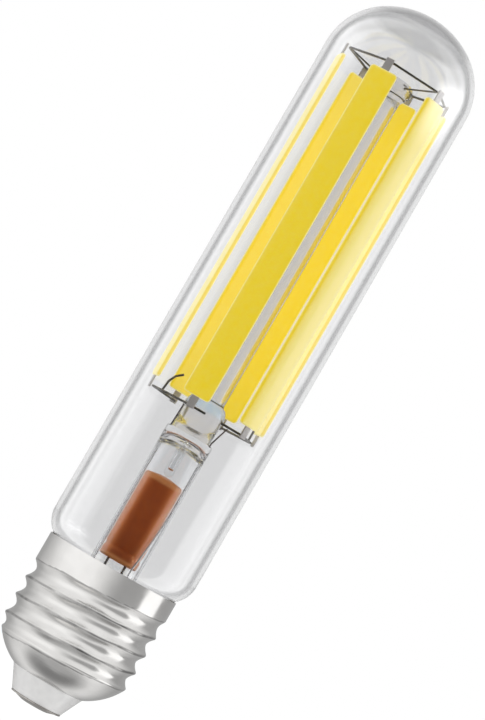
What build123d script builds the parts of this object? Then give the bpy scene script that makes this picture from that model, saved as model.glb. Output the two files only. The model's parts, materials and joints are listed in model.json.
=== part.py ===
from build123d import *
import os
from math import acos, atan2, cos, degrees, radians, sin, sqrt

# LED filament bulb: a clear tubular glass lamp on a 27 mm screw cap.
# Millimetres and degrees. Z runs up the lamp's axis, from the face of the centre contact to the dome.
# Azimuths are counted from the front, which is -Y, towards +X.

# Screw cap
CREST_DIAMETER = 26.25
THREAD_PITCH = 3.629
THREAD_DEPTH = 1.05
THREAD_TURNS = 4.2
CREST_LAND = 0.5
GROOVE_FLOOR = 0.7
GROOVE_KNEE_HALF = 0.61
GROOVE_KNEE_RISE = 0.33
GROOVE_OVERSHOOT = 1.12
THREAD_END_AZIMUTH = 61.0
COLLAR_HEIGHT = 4.9
SHEET = 0.3
CAP_HEIGHT = 28.75
BOWL_RADIUS = 12.5
BOWL_HEIGHT = 5.9
BOWL_RUNS = 3
BOWL_INNER_RUNS = 2
CAP_MOUTH_DIAMETER = 14.4

# Contact and insulator
CONTACT_DIAMETER = 10.2
CONTACT_FLAT_DIAMETER = 5.4
CONTACT_HEIGHT = 0.9
INSULATOR_HEIGHT = 4.2
INSULATOR_FLANGE = 0.6
INSULATOR_FLANGE_HEIGHT = 0.8
INSULATOR_BORE = 1.4

# Glass envelope
OVERALL_LENGTH = 145.2
TUBE_DIAMETER = 29.7
GLASS_WALL = 1.0
DOME_HEIGHT = 13.3
DOME_CORNER_SHARE = 0.947
CROWN_RUNS = 2
DOME_RUNS = 3
SHOULDER_RADIUS = 5.6
SHOULDER_RUNS = 2
NECK_BEND_RADIUS = 1.3
NECK_DEPTH = 11.75
CEMENT_THICKNESS = 0.47
CEMENT_DEPTH = 7.5

# Stem
STEM_DIAMETER = 9.4
STEM_WALL = 0.45
STEM_HEIGHT = 56.5
PRESS_HEIGHT = 2.7
PRESS_TAPER = 1.6
PRESS_THICKNESS = 5.2
EXHAUST_DIAMETER = 1.9
EXHAUST_BORE = 0.9
EXHAUST_LENGTH = 6.2

# Centre rod
ROD_DIAMETER = 5.5
FOOT_DIAMETER = 8.2
FOOT_HEIGHT = 4.6
FOOT_CROWN = 2.6
FOOT_RUNS = 2
BEAD_DIAMETER = 8.0
BEAD_HEIGHT = 3.6
BEAD_TAPER = 1.2

# Filament strips and their end tabs
FILAMENT_AZIMUTHS = (-13.5, 46.5, 104.0, 160.0, 213.0, 282.0)
LEFT_INDICES = (0, 5, 4)
RIGHT_INDICES = (1, 2, 3)
ANCHORED_INDICES = (1, 3, 5)
CAGE_RADIUS = 11.2
FILAMENT_BASE = 62.75
FILAMENT_HEADROOM = 14.4
FILAMENT_WIDTH = 5.3
FILAMENT_THICKNESS = 0.9
FILAMENT_CORNER = 0.7
TAB_WIDTH = 1.5
TAB_THICKNESS = 0.3
TAB_REACH = 2.3
TAB_ROOT = 1.0

# Wires
WIRE_SIDES = 8
MITRE_REACH = 0.625
CAGE_WIRE = 0.45
ANCHOR_WIRE = 0.32
ANCHOR_EMBED = 1.6
WIRE_SETBACK = 0.45
BUS_FREE_END = 3.0
BUS_OVERHANG = 4.3
HOOK_HEIGHT = 4.7
HOOK_LEAN = 2.2
HOOK_PLACE = 0.38
HOOK_LOW_BEND = (0.5, 0.12)
HOOK_HIGH_BEND = (0.8, 0.45)
SPUR_HEIGHT = 4.0
SPUR_SHARE = 0.7
LEAD_WIRE = 0.3
LEAD_STRAIGHT = 0.5
LEFT_LEAD_PLACE = 1.75
RIGHT_LEAD_PLACE = 2.8
LEAD_SWING = 45.0
LEAD_SWING_STEPS = 5

# Driver in the cap and stem
BOARD_HEIGHT = 7.8
BOARD_THICKNESS = 1.0
CAPACITOR_DIAMETER = 7.6
CAPACITOR_LENGTH = 16.7
CAPACITOR_EDGE = 0.6
CAPACITOR_PITCH = 3.5
CAPACITOR_LEAD = 0.5
BRIDGE_SIZE = (4.7, 4.0, 2.4)
BRIDGE_CHAMFER = 0.3
CHIP_SIZE = (4.9, 3.9, 1.5)
CHIP_LEGS = 4
CHIP_LEG_WIDTH = 0.42
CHIP_LEG_PITCH = 1.27
CHIP_LEG_REACH = 0.9
CHIP_LEG_THICKNESS = 0.2
CHIP_STANDOFF = 0.15
CHOKE_DIAMETER = 5.4
CHOKE_HEADROOM = 2.0
CHOKE_FLANGE = 1.1
CHOKE_WINDING = 0.6
RESISTOR_DIAMETER = 2.4
RESISTOR_LENGTH = 6.4
RESISTOR_LEAD = 0.5
RESISTOR_SPAN = 9.4
PIGTAIL_WIRE = 0.6
PIGTAIL_RISE = 2.0
LEAD_TAIL = 0.5
BRIDGE_AZIMUTH = 180.0
CHIP_AZIMUTH = 115.0
CHOKE_AZIMUTH = 232.0
RESISTOR_AZIMUTH = 20.0
PIGTAIL_AZIMUTH = -52.0

# Clearances
SEAL_GAP = 0.02
SEAT_GAP = 0.05
BORE_GAP = 0.05
RIM_GAP = 0.2
MOUTH_GAP = 0.05
BOARD_EDGE = 0.6
CAPACITOR_GAP = 0.3

# Derived sizes
crest_r = CREST_DIAMETER / 2
root_r = crest_r - THREAD_DEPTH
thread_bore_r = root_r - SHEET
collar_bore_r = crest_r - SHEET
groove_half = (THREAD_PITCH - CREST_LAND) / 2
groove_top_z = CAP_HEIGHT - COLLAR_HEIGHT
collar_bore_z = groove_top_z + groove_half + SHEET
mouth_r = CAP_MOUTH_DIAMETER / 2
mouth_z = CONTACT_HEIGHT + INSULATOR_HEIGHT
bowl_chord = sqrt((crest_r - mouth_r) ** 2 + BOWL_HEIGHT**2)
bowl_inset = sqrt(BOWL_RADIUS**2 - (bowl_chord / 2) ** 2)
bowl_c = (mouth_r + crest_r) / 2 - bowl_inset * BOWL_HEIGHT / bowl_chord
bowl_c_z = mouth_z + BOWL_HEIGHT / 2 + bowl_inset * (crest_r - mouth_r) / bowl_chord

tube_r = TUBE_DIAMETER / 2
neck_r = thread_bore_r - CEMENT_THICKNESS
neck_end_z = CAP_HEIGHT - NECK_DEPTH
flange_z = neck_end_z - STEM_WALL
dome_z = OVERALL_LENGTH - DOME_HEIGHT
dome_corner = DOME_CORNER_SHARE * DOME_HEIGHT
crown_radius = (tube_r**2 + DOME_HEIGHT**2 - 2 * tube_r * dome_corner) / (2 * (DOME_HEIGHT - dome_corner))
dome_turn = degrees(atan2(crown_radius - DOME_HEIGHT, tube_r - dome_corner))
shoulder_c = tube_r - SHOULDER_RADIUS
shoulder_drop = sqrt(SHOULDER_RADIUS**2 - (collar_bore_r - RIM_GAP - shoulder_c) ** 2)
shoulder_z = CAP_HEIGHT + shoulder_drop
bend_sum = SHOULDER_RADIUS + NECK_BEND_RADIUS
shoulder_turn = acos(1 - (tube_r - neck_r) / bend_sum)
bend_z = shoulder_z - bend_sum * sin(shoulder_turn)
rim_z = shoulder_z - SHOULDER_RADIUS * sin(shoulder_turn)

stem_r = STEM_DIAMETER / 2
stem_bore_r = stem_r - STEM_WALL
press_z = STEM_HEIGHT - PRESS_HEIGHT
exhaust_tip_z = press_z - EXHAUST_LENGTH
lead_r = stem_bore_r - LEAD_WIRE / 2 - BORE_GAP

strip_top_z = OVERALL_LENGTH - FILAMENT_HEADROOM
filament_length = strip_top_z - FILAMENT_BASE
ring_z = strip_top_z + TAB_REACH - WIRE_SETBACK
bus_z = FILAMENT_BASE - TAB_REACH + WIRE_SETBACK
tab_face_r = CAGE_RADIUS - TAB_THICKNESS / 2
wire_corner_r = tab_face_r - MITRE_REACH * CAGE_WIRE - SEAL_GAP

bead_top_z = ring_z - CAGE_WIRE
rod_top_z = bead_top_z - BEAD_HEIGHT

capacitor_top_z = exhaust_tip_z - CAPACITOR_GAP
capacitor_base_z = capacitor_top_z - CAPACITOR_LENGTH
board_top_z = BOARD_HEIGHT + BOARD_THICKNESS
choke_height = flange_z - board_top_z - CHOKE_HEADROOM
bowl_bore_r = BOWL_RADIUS - SHEET
bowl_turn = acos((mouth_r - bowl_c) / bowl_bore_r) - acos((thread_bore_r - bowl_c) / bowl_bore_r)
bowl_clear_r = bowl_bore_r * cos(bowl_turn / BOWL_INNER_RUNS / 2)
board_r = bowl_c + sqrt(bowl_clear_r**2 - (bowl_c_z - BOARD_HEIGHT) ** 2) - SEAT_GAP


def bowl_z(radius, bend):
    """Height of the bowl's curve at a distance from the axis, for the given radius of that curve."""
    return bowl_c_z - sqrt(bend**2 - (radius - bowl_c) ** 2)


def at(azimuth, radius, z):
    """Point at an azimuth from the front, a distance from the axis and a height."""
    angle = radians(azimuth)
    return Vector(radius * sin(angle), -radius * cos(angle), z)


def facing(azimuth, radius, z):
    """Plane that looks out from the axis, with its own Y up and its own X along the tangent."""
    angle = radians(azimuth)
    tangent = (cos(angle), sin(angle), 0)
    outward = (sin(angle), -cos(angle), 0)
    return Plane(origin=at(azimuth, radius, z), x_dir=tangent, z_dir=outward)


def standing(azimuth, radius, z):
    """Plane that lies flat at a place on the board, turned to that place's azimuth."""
    angle = radians(azimuth)
    return Plane(origin=at(azimuth, radius, z), x_dir=(cos(angle), sin(angle), 0), z_dir=(0, 0, 1))


def turned(*edges):
    """Solid turned about the axis from a closed outline of radius and height."""
    return revolve(Plane.XZ * make_face(edges), Axis.Z)


def runs(arc, count):
    """Points along an arc that is turned as a number of straight runs."""
    return [arc @ (step / count) for step in range(count + 1)]


def rod(start, end, diameter):
    """Straight round bar between two points."""
    run = Vector(*end) - Vector(*start)
    return extrude(Plane(origin=start, z_dir=run) * Circle(diameter / 2), run.length)


def wire(*points, diameter, close=False):
    """Wire of many-sided section along straight runs, mitred where it bends."""
    path = Polyline(*points, close=close)
    section = Plane(origin=path @ 0, z_dir=path % 0) * RegularPolygon(diameter / 2, WIRE_SIDES)
    return sweep(section, path=path, transition=Transition.RIGHT)


def wire_hole(*points, diameter):
    """Cutter for the hole that a wire of the given size is sealed into."""
    return wire(*points, diameter=diameter + 2 * SEAL_GAP)


def envelope_side(inset):
    """Outline of the glass from the dome's crown down to the neck's end, set in from the outer face."""
    turn = degrees(shoulder_turn)
    crown = CenterArc((0, OVERALL_LENGTH - crown_radius), crown_radius - inset, 90, dome_turn - 90)
    corner = CenterArc((tube_r - dome_corner, dome_z), dome_corner - inset, dome_turn, -dome_turn)
    shoulder = CenterArc((shoulder_c, shoulder_z), SHOULDER_RADIUS - inset, 0, -turn)
    return [
        *runs(crown, CROWN_RUNS),
        *runs(corner, DOME_RUNS)[1:],
        *runs(shoulder, SHOULDER_RUNS),
        (neck_r - inset, bend_z),
        (neck_r - inset, neck_end_z),
    ]


def glass_envelope():
    """Blown tube with a domed end, a rounded shoulder and a neck that stands inside the cap."""
    return turned(Polyline(*envelope_side(0), *reversed(envelope_side(GLASS_WALL)), close=True))


def stem_tube():
    """Stem tube, its lower end spread out as the flange that closes the neck from below."""
    return turned(
        Polyline(
            (stem_r, press_z),
            (stem_r, neck_end_z),
            (neck_r, neck_end_z),
            (neck_r, flange_z),
            (stem_bore_r, flange_z),
            (stem_bore_r, press_z),
            close=True,
        )
    )


def stem_press():
    """Pinched top of the stem: the round tube drawn in to a thick flat blade."""
    half = PRESS_THICKNESS / 2
    taper_z = press_z + PRESS_TAPER
    blade = Polyline(
        (-stem_r, press_z),
        (stem_r, press_z),
        (half, taper_z),
        (half, STEM_HEIGHT),
        (-half, STEM_HEIGHT),
        (-half, taper_z),
        close=True,
    )
    wedge = extrude(Plane.YZ * make_face(blade), stem_r, both=True)
    column = Pos(0, 0, press_z) * extrude(Circle(stem_r), PRESS_HEIGHT)
    return column & wedge


def stem_glass():
    """Flange, tube, press and sealed exhaust tube, fused as one piece, with holes for the lead wires."""
    glass = stem_tube() + stem_press()
    glass += rod((0, 0, exhaust_tip_z), (0, 0, press_z + PRESS_TAPER), EXHAUST_DIAMETER)
    bore_z = exhaust_tip_z + EXHAUST_DIAMETER / 2
    vent_z = press_z + PRESS_TAPER
    glass -= wire((0, 0, bore_z), (0, 0, vent_z + EXHAUST_BORE / 2), diameter=EXHAUST_BORE)
    glass -= wire((0, 0, vent_z), (0, -stem_r, vent_z), diameter=EXHAUST_BORE)
    for side in (-1, 1):
        low = (side * lead_r, 0, press_z - STEM_WALL)
        high = (side * lead_r, 0, STEM_HEIGHT + STEM_WALL)
        glass -= wire_hole(low, high, diameter=LEAD_WIRE)
    return glass


def centre_rod():
    """Solid glass rod on the press: a crowned foot, the shank and a bead that holds the anchor wires."""
    foot_r = FOOT_DIAMETER / 2
    foot_base_r = lead_r - LEAD_WIRE / 2 - 2 * SEAT_GAP
    foot_z = STEM_HEIGHT + FOOT_HEIGHT
    shank_r = ROD_DIAMETER / 2
    bead_r = BEAD_DIAMETER / 2
    crown = EllipticalCenterArc((shank_r, foot_z), foot_r - shank_r, FOOT_CROWN, arc_size=90)
    glass = turned(
        Polyline(
            (0, STEM_HEIGHT),
            (foot_base_r, STEM_HEIGHT),
            *runs(crown, FOOT_RUNS),
            (shank_r, rod_top_z),
            (bead_r, rod_top_z + BEAD_TAPER),
            (bead_r, bead_top_z),
            (0, bead_top_z),
            close=True,
        )
    )
    for start, end in anchor_runs():
        run = (end - start).normalized()
        glass -= wire_hole(start - run * SEAL_GAP, end, diameter=ANCHOR_WIRE)
    return glass


def anchor_runs():
    """Start and end of each anchor wire, from inside the bead to the inner side of the upper ring."""
    bead_r = BEAD_DIAMETER / 2
    low_z = (rod_top_z + BEAD_TAPER + bead_top_z) / 2
    reach_r = wire_corner_r - MITRE_REACH * CAGE_WIRE - ANCHOR_WIRE / 2 - SEAT_GAP
    runs = []
    for strip in ANCHORED_INDICES:
        azimuth = FILAMENT_AZIMUTHS[strip]
        runs.append((at(azimuth, bead_r - ANCHOR_EMBED, low_z), at(azimuth, reach_r, ring_z)))
    return runs


def anchor_wires():
    """The wires that hold the upper ring to the bead, as one group."""
    return Compound(children=[wire(start, end, diameter=ANCHOR_WIRE) for start, end in anchor_runs()])


def filament_strip(azimuth):
    """Coated filament strip with rounded corners and a pocket in each end for its tab."""
    place = facing(azimuth, CAGE_RADIUS, FILAMENT_BASE + filament_length / 2)
    outline = RectangleRounded(FILAMENT_WIDTH, filament_length, FILAMENT_CORNER)
    plate = extrude(outline, FILAMENT_THICKNESS / 2, both=True)
    for side in (-1, 1):
        plate -= Pos(0, side * filament_length / 2, 0) * Box(TAB_WIDTH, 2 * TAB_ROOT, TAB_THICKNESS)
    return place * plate


def end_tab(azimuth, side):
    """Flat metal tab in one end of a strip: side is 1 for the upper end and -1 for the lower one."""
    place = facing(azimuth, CAGE_RADIUS, FILAMENT_BASE + filament_length / 2)
    middle = filament_length / 2 + (TAB_REACH - TAB_ROOT) / 2
    return place * Pos(0, side * middle, 0) * Box(TAB_WIDTH, TAB_REACH + TAB_ROOT, TAB_THICKNESS)


def upper_ring():
    """Wire ring, bent at each upper tab and welded to the tab's inner face."""
    corners = [at(azimuth, wire_corner_r, ring_z) for azimuth in FILAMENT_AZIMUTHS]
    middle = (corners[-1] + corners[0]) / 2
    return wire(middle, *corners, diameter=CAGE_WIRE, close=True)


def bus_corners(strips):
    """Corners of a lower bus, one at each lower tab that it carries."""
    return [at(FILAMENT_AZIMUTHS[strip], wire_corner_r, bus_z) for strip in strips]


def bus_towards(strips, other, length):
    """Point on the bus's front run, a length from its first corner towards the other bus."""
    first = bus_corners(strips)[0]
    run = (bus_corners(other)[0] - first).normalized()
    return first + run * length


def lower_bus(strips, other, free_end):
    """Wire that joins three lower tabs and runs on past the front one to a free end."""
    return wire(bus_towards(strips, other, free_end), *bus_corners(strips), diameter=CAGE_WIRE)


def lower_bus_left():
    """Left bus, with the cut end of its wire turned up and in as a hook between its last two strips."""
    bus = lower_bus(LEFT_INDICES, RIGHT_INDICES, BUS_FREE_END)
    second, last = bus_corners(LEFT_INDICES)[1:]
    root = second + (last - second) * HOOK_PLACE
    lean = Vector(-root.X, -root.Y, 0).normalized() * HOOK_LEAN
    rise = Vector(0, 0, HOOK_HEIGHT)
    bends = [root + rise * up + lean * aside for up, aside in (HOOK_LOW_BEND, HOOK_HIGH_BEND)]
    return bus + wire(root, *bends, root + rise + lean, diameter=CAGE_WIRE)


def lower_bus_right():
    """Right bus, with the cut end of its wire standing up beside the second strip."""
    bus = lower_bus(RIGHT_INDICES, LEFT_INDICES, BUS_OVERHANG)
    first, second = bus_corners(RIGHT_INDICES)[:2]
    root = first + (second - first) * SPUR_SHARE
    return bus + wire(root, root + Vector(0, 0, SPUR_HEIGHT), diameter=CAGE_WIRE)


def lead_top(start, end, length):
    """Upper end of a lead wire, just under the bus, a length along one of its runs."""
    drop = (CAGE_WIRE + LEAD_WIRE) / 2 + SEAT_GAP
    return start + (end - start).normalized() * length - Vector(0, 0, drop)


def lead_wire_left():
    """Lead wire from the board straight up the stem's wall, through the press and out to the left bus."""
    foot = at(-90, lead_r, BOARD_HEIGHT - LEAD_TAIL)
    exit_point = at(-90, lead_r, STEM_HEIGHT + LEAD_STRAIGHT)
    first, second = bus_corners(LEFT_INDICES)[:2]
    return wire(foot, exit_point, lead_top(first, second, LEFT_LEAD_PLACE), diameter=LEAD_WIRE)


def lead_wire_right():
    """Lead wire that swings round the front of the capacitor on its way up to the press."""
    start = [at(LEAD_SWING, lead_r, BOARD_HEIGHT - LEAD_TAIL)]
    for step in range(LEAD_SWING_STEPS + 1):
        share = step / LEAD_SWING_STEPS
        azimuth = LEAD_SWING + share * (90 - LEAD_SWING)
        start.append(at(azimuth, lead_r, capacitor_base_z + share * CAPACITOR_LENGTH))
    exit_point = at(90, lead_r, STEM_HEIGHT + LEAD_STRAIGHT)
    free_end = bus_towards(RIGHT_INDICES, LEFT_INDICES, BUS_OVERHANG)
    end = lead_top(bus_corners(RIGHT_INDICES)[0], free_end, RIGHT_LEAD_PLACE)
    return wire(*start, exit_point, end, diameter=LEAD_WIRE)


def thread_cutter():
    """Helical groove of the rolled thread, from below the bowl up to its run-out under the collar."""
    floor = GROOVE_FLOOR / 2
    knee_half = groove_half * GROOVE_KNEE_HALF
    knee_r = root_r + THREAD_DEPTH * GROOVE_KNEE_RISE
    over_r = knee_r + (crest_r - knee_r) * GROOVE_OVERSHOOT
    over_half = knee_half + (groove_half - knee_half) * GROOVE_OVERSHOOT
    outline = Polyline(
        (root_r, -floor),
        (root_r, floor),
        (knee_r, knee_half),
        (over_r, over_half),
        (over_r, -over_half),
        (knee_r, -knee_half),
        close=True,
    )
    height = THREAD_TURNS * THREAD_PITCH
    groove = sweep(Plane.XZ * make_face(outline), path=Helix(THREAD_PITCH, height, root_r), is_frenet=True)
    start_turn = THREAD_END_AZIMUTH - 360 * (THREAD_TURNS % 1)
    return Pos(0, 0, groove_top_z - height) * Rot(0, 0, start_turn) * groove


def bowl_points(start_r, end_r, bend, count):
    """Points of the bowl's curve between two distances from the axis, for the given radius of that curve."""
    start = degrees(acos((start_r - bowl_c) / bend))
    end = degrees(acos((end_r - bowl_c) / bend))
    return runs(CenterArc((bowl_c, bowl_c_z), bend, -start, start - end), count)


def cap_shell():
    """Pressed screw shell: a bowl with a mouth at its foot, the rolled thread and a plain collar on top."""
    body = turned(
        Polyline(
            *bowl_points(mouth_r, crest_r, BOWL_RADIUS, BOWL_RUNS),
            (crest_r, CAP_HEIGHT),
            (collar_bore_r, CAP_HEIGHT),
            (collar_bore_r, collar_bore_z),
            (thread_bore_r, collar_bore_z),
            *bowl_points(thread_bore_r, mouth_r, bowl_bore_r, BOWL_INNER_RUNS),
            close=True,
        )
    )
    return body - thread_cutter()


def cap_insulator():
    """Insulating cone between contact and shell, with a neck in the shell's mouth and a flange inside."""
    neck = mouth_r - MOUTH_GAP
    flange_r = neck + INSULATOR_FLANGE
    lip_z = bowl_z(flange_r, bowl_clear_r) + MOUTH_GAP
    top_z = lip_z + INSULATOR_FLANGE_HEIGHT
    cone = turned(
        Polyline(
            (0, CONTACT_HEIGHT),
            (CONTACT_DIAMETER / 2, CONTACT_HEIGHT),
            (neck, mouth_z),
            (neck, lip_z),
            (flange_r, lip_z),
            (flange_r, top_z),
            (0, top_z),
            close=True,
        )
    )
    return cone - wire((0, 0, CONTACT_HEIGHT), (0, 0, top_z), diameter=INSULATOR_BORE)


def centre_contact():
    """Pressed contact plate with a flat middle and a raised rim."""
    return turned(
        Polyline(
            (0, 0),
            (CONTACT_FLAT_DIAMETER / 2, 0),
            (CONTACT_DIAMETER / 2, CONTACT_HEIGHT),
            (0, CONTACT_HEIGHT),
            close=True,
        )
    )


def basing_cement():
    """Ring of cement round the neck, from the threaded wall of the shell up under the glass shoulder."""
    low_z = collar_bore_z - CEMENT_DEPTH
    return turned(
        Polyline(
            (neck_r, low_z),
            (thread_bore_r, low_z),
            (thread_bore_r, collar_bore_z),
            (collar_bore_r, collar_bore_z),
            (collar_bore_r, rim_z),
            (shoulder_c + SHOULDER_RADIUS * cos(shoulder_turn), rim_z),
            (neck_r, bend_z),
            close=True,
        )
    )


def board_holes():
    """Places and sizes of the holes that wires pass through."""
    holes = [(at(-90, lead_r, 0), LEAD_WIRE), (at(LEAD_SWING, lead_r, 0), LEAD_WIRE)]
    for side in (-1, 1):
        holes.append((Vector(side * CAPACITOR_PITCH / 2, 0, 0), CAPACITOR_LEAD))
        resistor = standing(RESISTOR_AZIMUTH, resistor_place_r(), 0)
        holes.append((resistor.from_local_coords(Vector(side * RESISTOR_SPAN / 2, 0, 0)), RESISTOR_LEAD))
    holes.append((at(PIGTAIL_AZIMUTH, pigtail_r(), 0), PIGTAIL_WIRE))
    holes.append((Vector(0, 0, 0), PIGTAIL_WIRE))
    return holes


def driver_board():
    """Round driver board that rests by its edge in the bowl of the cap."""
    board = Pos(0, 0, BOARD_HEIGHT) * extrude(Circle(board_r), BOARD_THICKNESS)
    for place, size in board_holes():
        low = place + Vector(0, 0, BOARD_HEIGHT - SEAT_GAP)
        high = place + Vector(0, 0, board_top_z + SEAT_GAP)
        board -= wire_hole(low, high, diameter=size)
    return board


def smoothing_capacitor():
    """Sleeved can that stands in the stem tube above the board."""
    can_r = CAPACITOR_DIAMETER / 2
    return turned(
        Polyline(
            (0, capacitor_base_z),
            (can_r, capacitor_base_z),
            (can_r, capacitor_top_z - CAPACITOR_EDGE),
            (can_r - CAPACITOR_EDGE, capacitor_top_z),
            (0, capacitor_top_z),
            close=True,
        )
    )


def capacitor_leads():
    """The two legs on which the capacitor stands, down through the board."""
    legs = []
    for side in (-1, 1):
        foot = Vector(side * CAPACITOR_PITCH / 2, 0, BOARD_HEIGHT - LEAD_TAIL)
        legs.append(wire(foot, Vector(foot.X, 0, capacitor_base_z), diameter=CAPACITOR_LEAD))
    return Compound(children=legs)


def bridge_rectifier():
    """Moulded rectifier block, chamfered along its top."""
    width, depth, height = BRIDGE_SIZE
    place = standing(BRIDGE_AZIMUTH, board_r - BOARD_EDGE - depth, board_top_z)
    block = Pos(0, 0, height / 2) * Box(width, depth, height)
    return place * chamfer(block.faces().sort_by(Axis.Z)[-1].edges(), BRIDGE_CHAMFER)


def driver_chip():
    """Moulded chip on two rows of bent legs."""
    width, depth, height = CHIP_SIZE
    place = standing(CHIP_AZIMUTH, board_r - BOARD_EDGE - depth, board_top_z)
    chip = Pos(0, 0, CHIP_STANDOFF + height / 2) * Box(width, depth, height)
    leg_height = CHIP_STANDOFF + height / 2
    for side in (-1, 1):
        for leg in range(CHIP_LEGS):
            x = (leg - (CHIP_LEGS - 1) / 2) * CHIP_LEG_PITCH
            root = Pos(x, side * (depth / 2 + CHIP_LEG_REACH / 4), leg_height - CHIP_LEG_THICKNESS / 2)
            chip += root * Box(CHIP_LEG_WIDTH, CHIP_LEG_REACH / 2, CHIP_LEG_THICKNESS)
            knee_y = side * (depth / 2 + CHIP_LEG_REACH / 2 - CHIP_LEG_THICKNESS / 2)
            chip += Pos(x, knee_y, leg_height / 2) * Box(CHIP_LEG_WIDTH, CHIP_LEG_THICKNESS, leg_height)
    return place * chip


def choke():
    """Drum core with its winding, standing on the board."""
    drum_r = CHOKE_DIAMETER / 2
    winding_r = drum_r - CHOKE_WINDING
    drum = extrude(Circle(drum_r), CHOKE_FLANGE) + extrude(Circle(winding_r), choke_height)
    drum += Pos(0, 0, choke_height - CHOKE_FLANGE) * extrude(Circle(drum_r), CHOKE_FLANGE)
    return standing(CHOKE_AZIMUTH, board_r - BOARD_EDGE - drum_r, board_top_z) * drum


def resistor_place_r():
    """Distance of the resistor from the axis, as far out as its legs allow."""
    return sqrt((board_r - BOARD_EDGE) ** 2 - (RESISTOR_SPAN / 2) ** 2) - RESISTOR_LEAD


def fuse_resistor():
    """Axial fusible resistor that lies on the board, with its two legs bent down through it."""
    place = standing(RESISTOR_AZIMUTH, resistor_place_r(), 0)
    axis_z = board_top_z + RESISTOR_DIAMETER / 2
    foot_z = BOARD_HEIGHT - LEAD_TAIL
    half = RESISTOR_SPAN / 2
    corners = [(-half, 0, foot_z), (-half, 0, axis_z), (half, 0, axis_z), (half, 0, foot_z)]
    legs = wire(*corners, diameter=RESISTOR_LEAD)
    body = rod((-RESISTOR_LENGTH / 2, 0, axis_z), (RESISTOR_LENGTH / 2, 0, axis_z), RESISTOR_DIAMETER)
    return place * (legs + body)


def pigtail_r():
    """Distance from the axis at which the neutral wire leaves the board."""
    return board_r - BOARD_EDGE - PIGTAIL_WIRE


def neutral_wire():
    """Wire from the board to the inner wall of the shell."""
    low = at(PIGTAIL_AZIMUTH, pigtail_r(), BOARD_HEIGHT - LEAD_TAIL)
    bend = at(PIGTAIL_AZIMUTH, pigtail_r(), board_top_z + PIGTAIL_RISE)
    wall = at(PIGTAIL_AZIMUTH, thread_bore_r - SEAT_GAP, board_top_z + PIGTAIL_RISE)
    return wire(low, bend, wall, diameter=PIGTAIL_WIRE)


def live_wire():
    """Wire from the board down through the insulator to the back of the contact."""
    return wire((0, 0, CONTACT_HEIGHT), (0, 0, board_top_z + LEAD_TAIL), diameter=PIGTAIL_WIRE)


def all_pieces():
    """Every piece of the lamp by the name of its node."""
    pieces = {
        "glass_envelope": glass_envelope(),
        "stem_glass": stem_glass(),
        "centre_rod": centre_rod(),
        "anchor_wires": anchor_wires(),
        "upper_ring": upper_ring(),
        "lower_bus_left": lower_bus_left(),
        "lower_bus_right": lower_bus_right(),
        "lead_wire_left": lead_wire_left(),
        "lead_wire_right": lead_wire_right(),
        "cap_shell": cap_shell(),
        "cap_insulator": cap_insulator(),
        "centre_contact": centre_contact(),
        "basing_cement": basing_cement(),
        "driver_board": driver_board(),
        "smoothing_capacitor": smoothing_capacitor(),
        "capacitor_leads": capacitor_leads(),
        "bridge_rectifier": bridge_rectifier(),
        "driver_chip": driver_chip(),
        "choke": choke(),
        "fuse_resistor": fuse_resistor(),
        "neutral_wire": neutral_wire(),
        "live_wire": live_wire(),
    }
    for number, azimuth in enumerate(FILAMENT_AZIMUTHS, start=1):
        pieces[f"filament_{number}"] = filament_strip(azimuth)
        pieces[f"filament_{number}_upper_tab"] = end_tab(azimuth, 1)
        pieces[f"filament_{number}_lower_tab"] = end_tab(azimuth, -1)
    return pieces


os.makedirs("parts", exist_ok=True)
for node, solid in all_pieces().items():
    export_step(solid, f"parts/{node}.step")
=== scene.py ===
"""LED filament bulb: a clear tubular glass lamp on a 27 mm screw cap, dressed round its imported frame."""

import json
import logging
import math
from collections.abc import Sequence
from dataclasses import dataclass
from enum import Enum
from typing import ClassVar

import bmesh
import bpy
from mathutils import Matrix, Vector


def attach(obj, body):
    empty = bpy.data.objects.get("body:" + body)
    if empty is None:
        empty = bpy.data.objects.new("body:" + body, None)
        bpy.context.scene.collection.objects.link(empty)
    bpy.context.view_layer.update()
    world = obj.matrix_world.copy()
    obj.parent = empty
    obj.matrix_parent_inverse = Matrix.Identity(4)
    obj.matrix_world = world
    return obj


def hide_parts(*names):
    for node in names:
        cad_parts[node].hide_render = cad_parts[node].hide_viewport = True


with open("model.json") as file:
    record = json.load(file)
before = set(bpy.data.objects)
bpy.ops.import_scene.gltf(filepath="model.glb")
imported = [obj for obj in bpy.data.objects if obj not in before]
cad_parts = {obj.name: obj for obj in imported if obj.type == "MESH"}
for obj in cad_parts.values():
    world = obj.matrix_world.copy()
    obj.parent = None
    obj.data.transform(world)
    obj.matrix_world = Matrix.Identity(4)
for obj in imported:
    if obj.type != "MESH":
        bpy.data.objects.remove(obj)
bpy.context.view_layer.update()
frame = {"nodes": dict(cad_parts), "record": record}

Colour = tuple[float, float, float]
Pairs = tuple[tuple[float, float], ...]
Profile = list[tuple[float, ...]]
Term = "Value | bpy.types.NodeSocket | Colour | float"

# Metres in a millimetre, and heights in millimetres that two sub-assemblies share.
MM = 0.001
STEM_TOP = 56.5
CAN_LOW = 30.6
CAN_TOP = 47.3
# Half thickness of a turned ring that nothing pinches, and how squarely a pinched one is flattened.
ROUND = 1.0e6
SQUARENESS = 5
# Corners of a mesh that are closer than this, in metres, are one.
MERGE = 1.0e-7
WHITE: Colour = (1.0, 1.0, 1.0)
BLACK: Colour = (0.0, 0.0, 0.0)
log = logging.getLogger("bulb")


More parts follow.
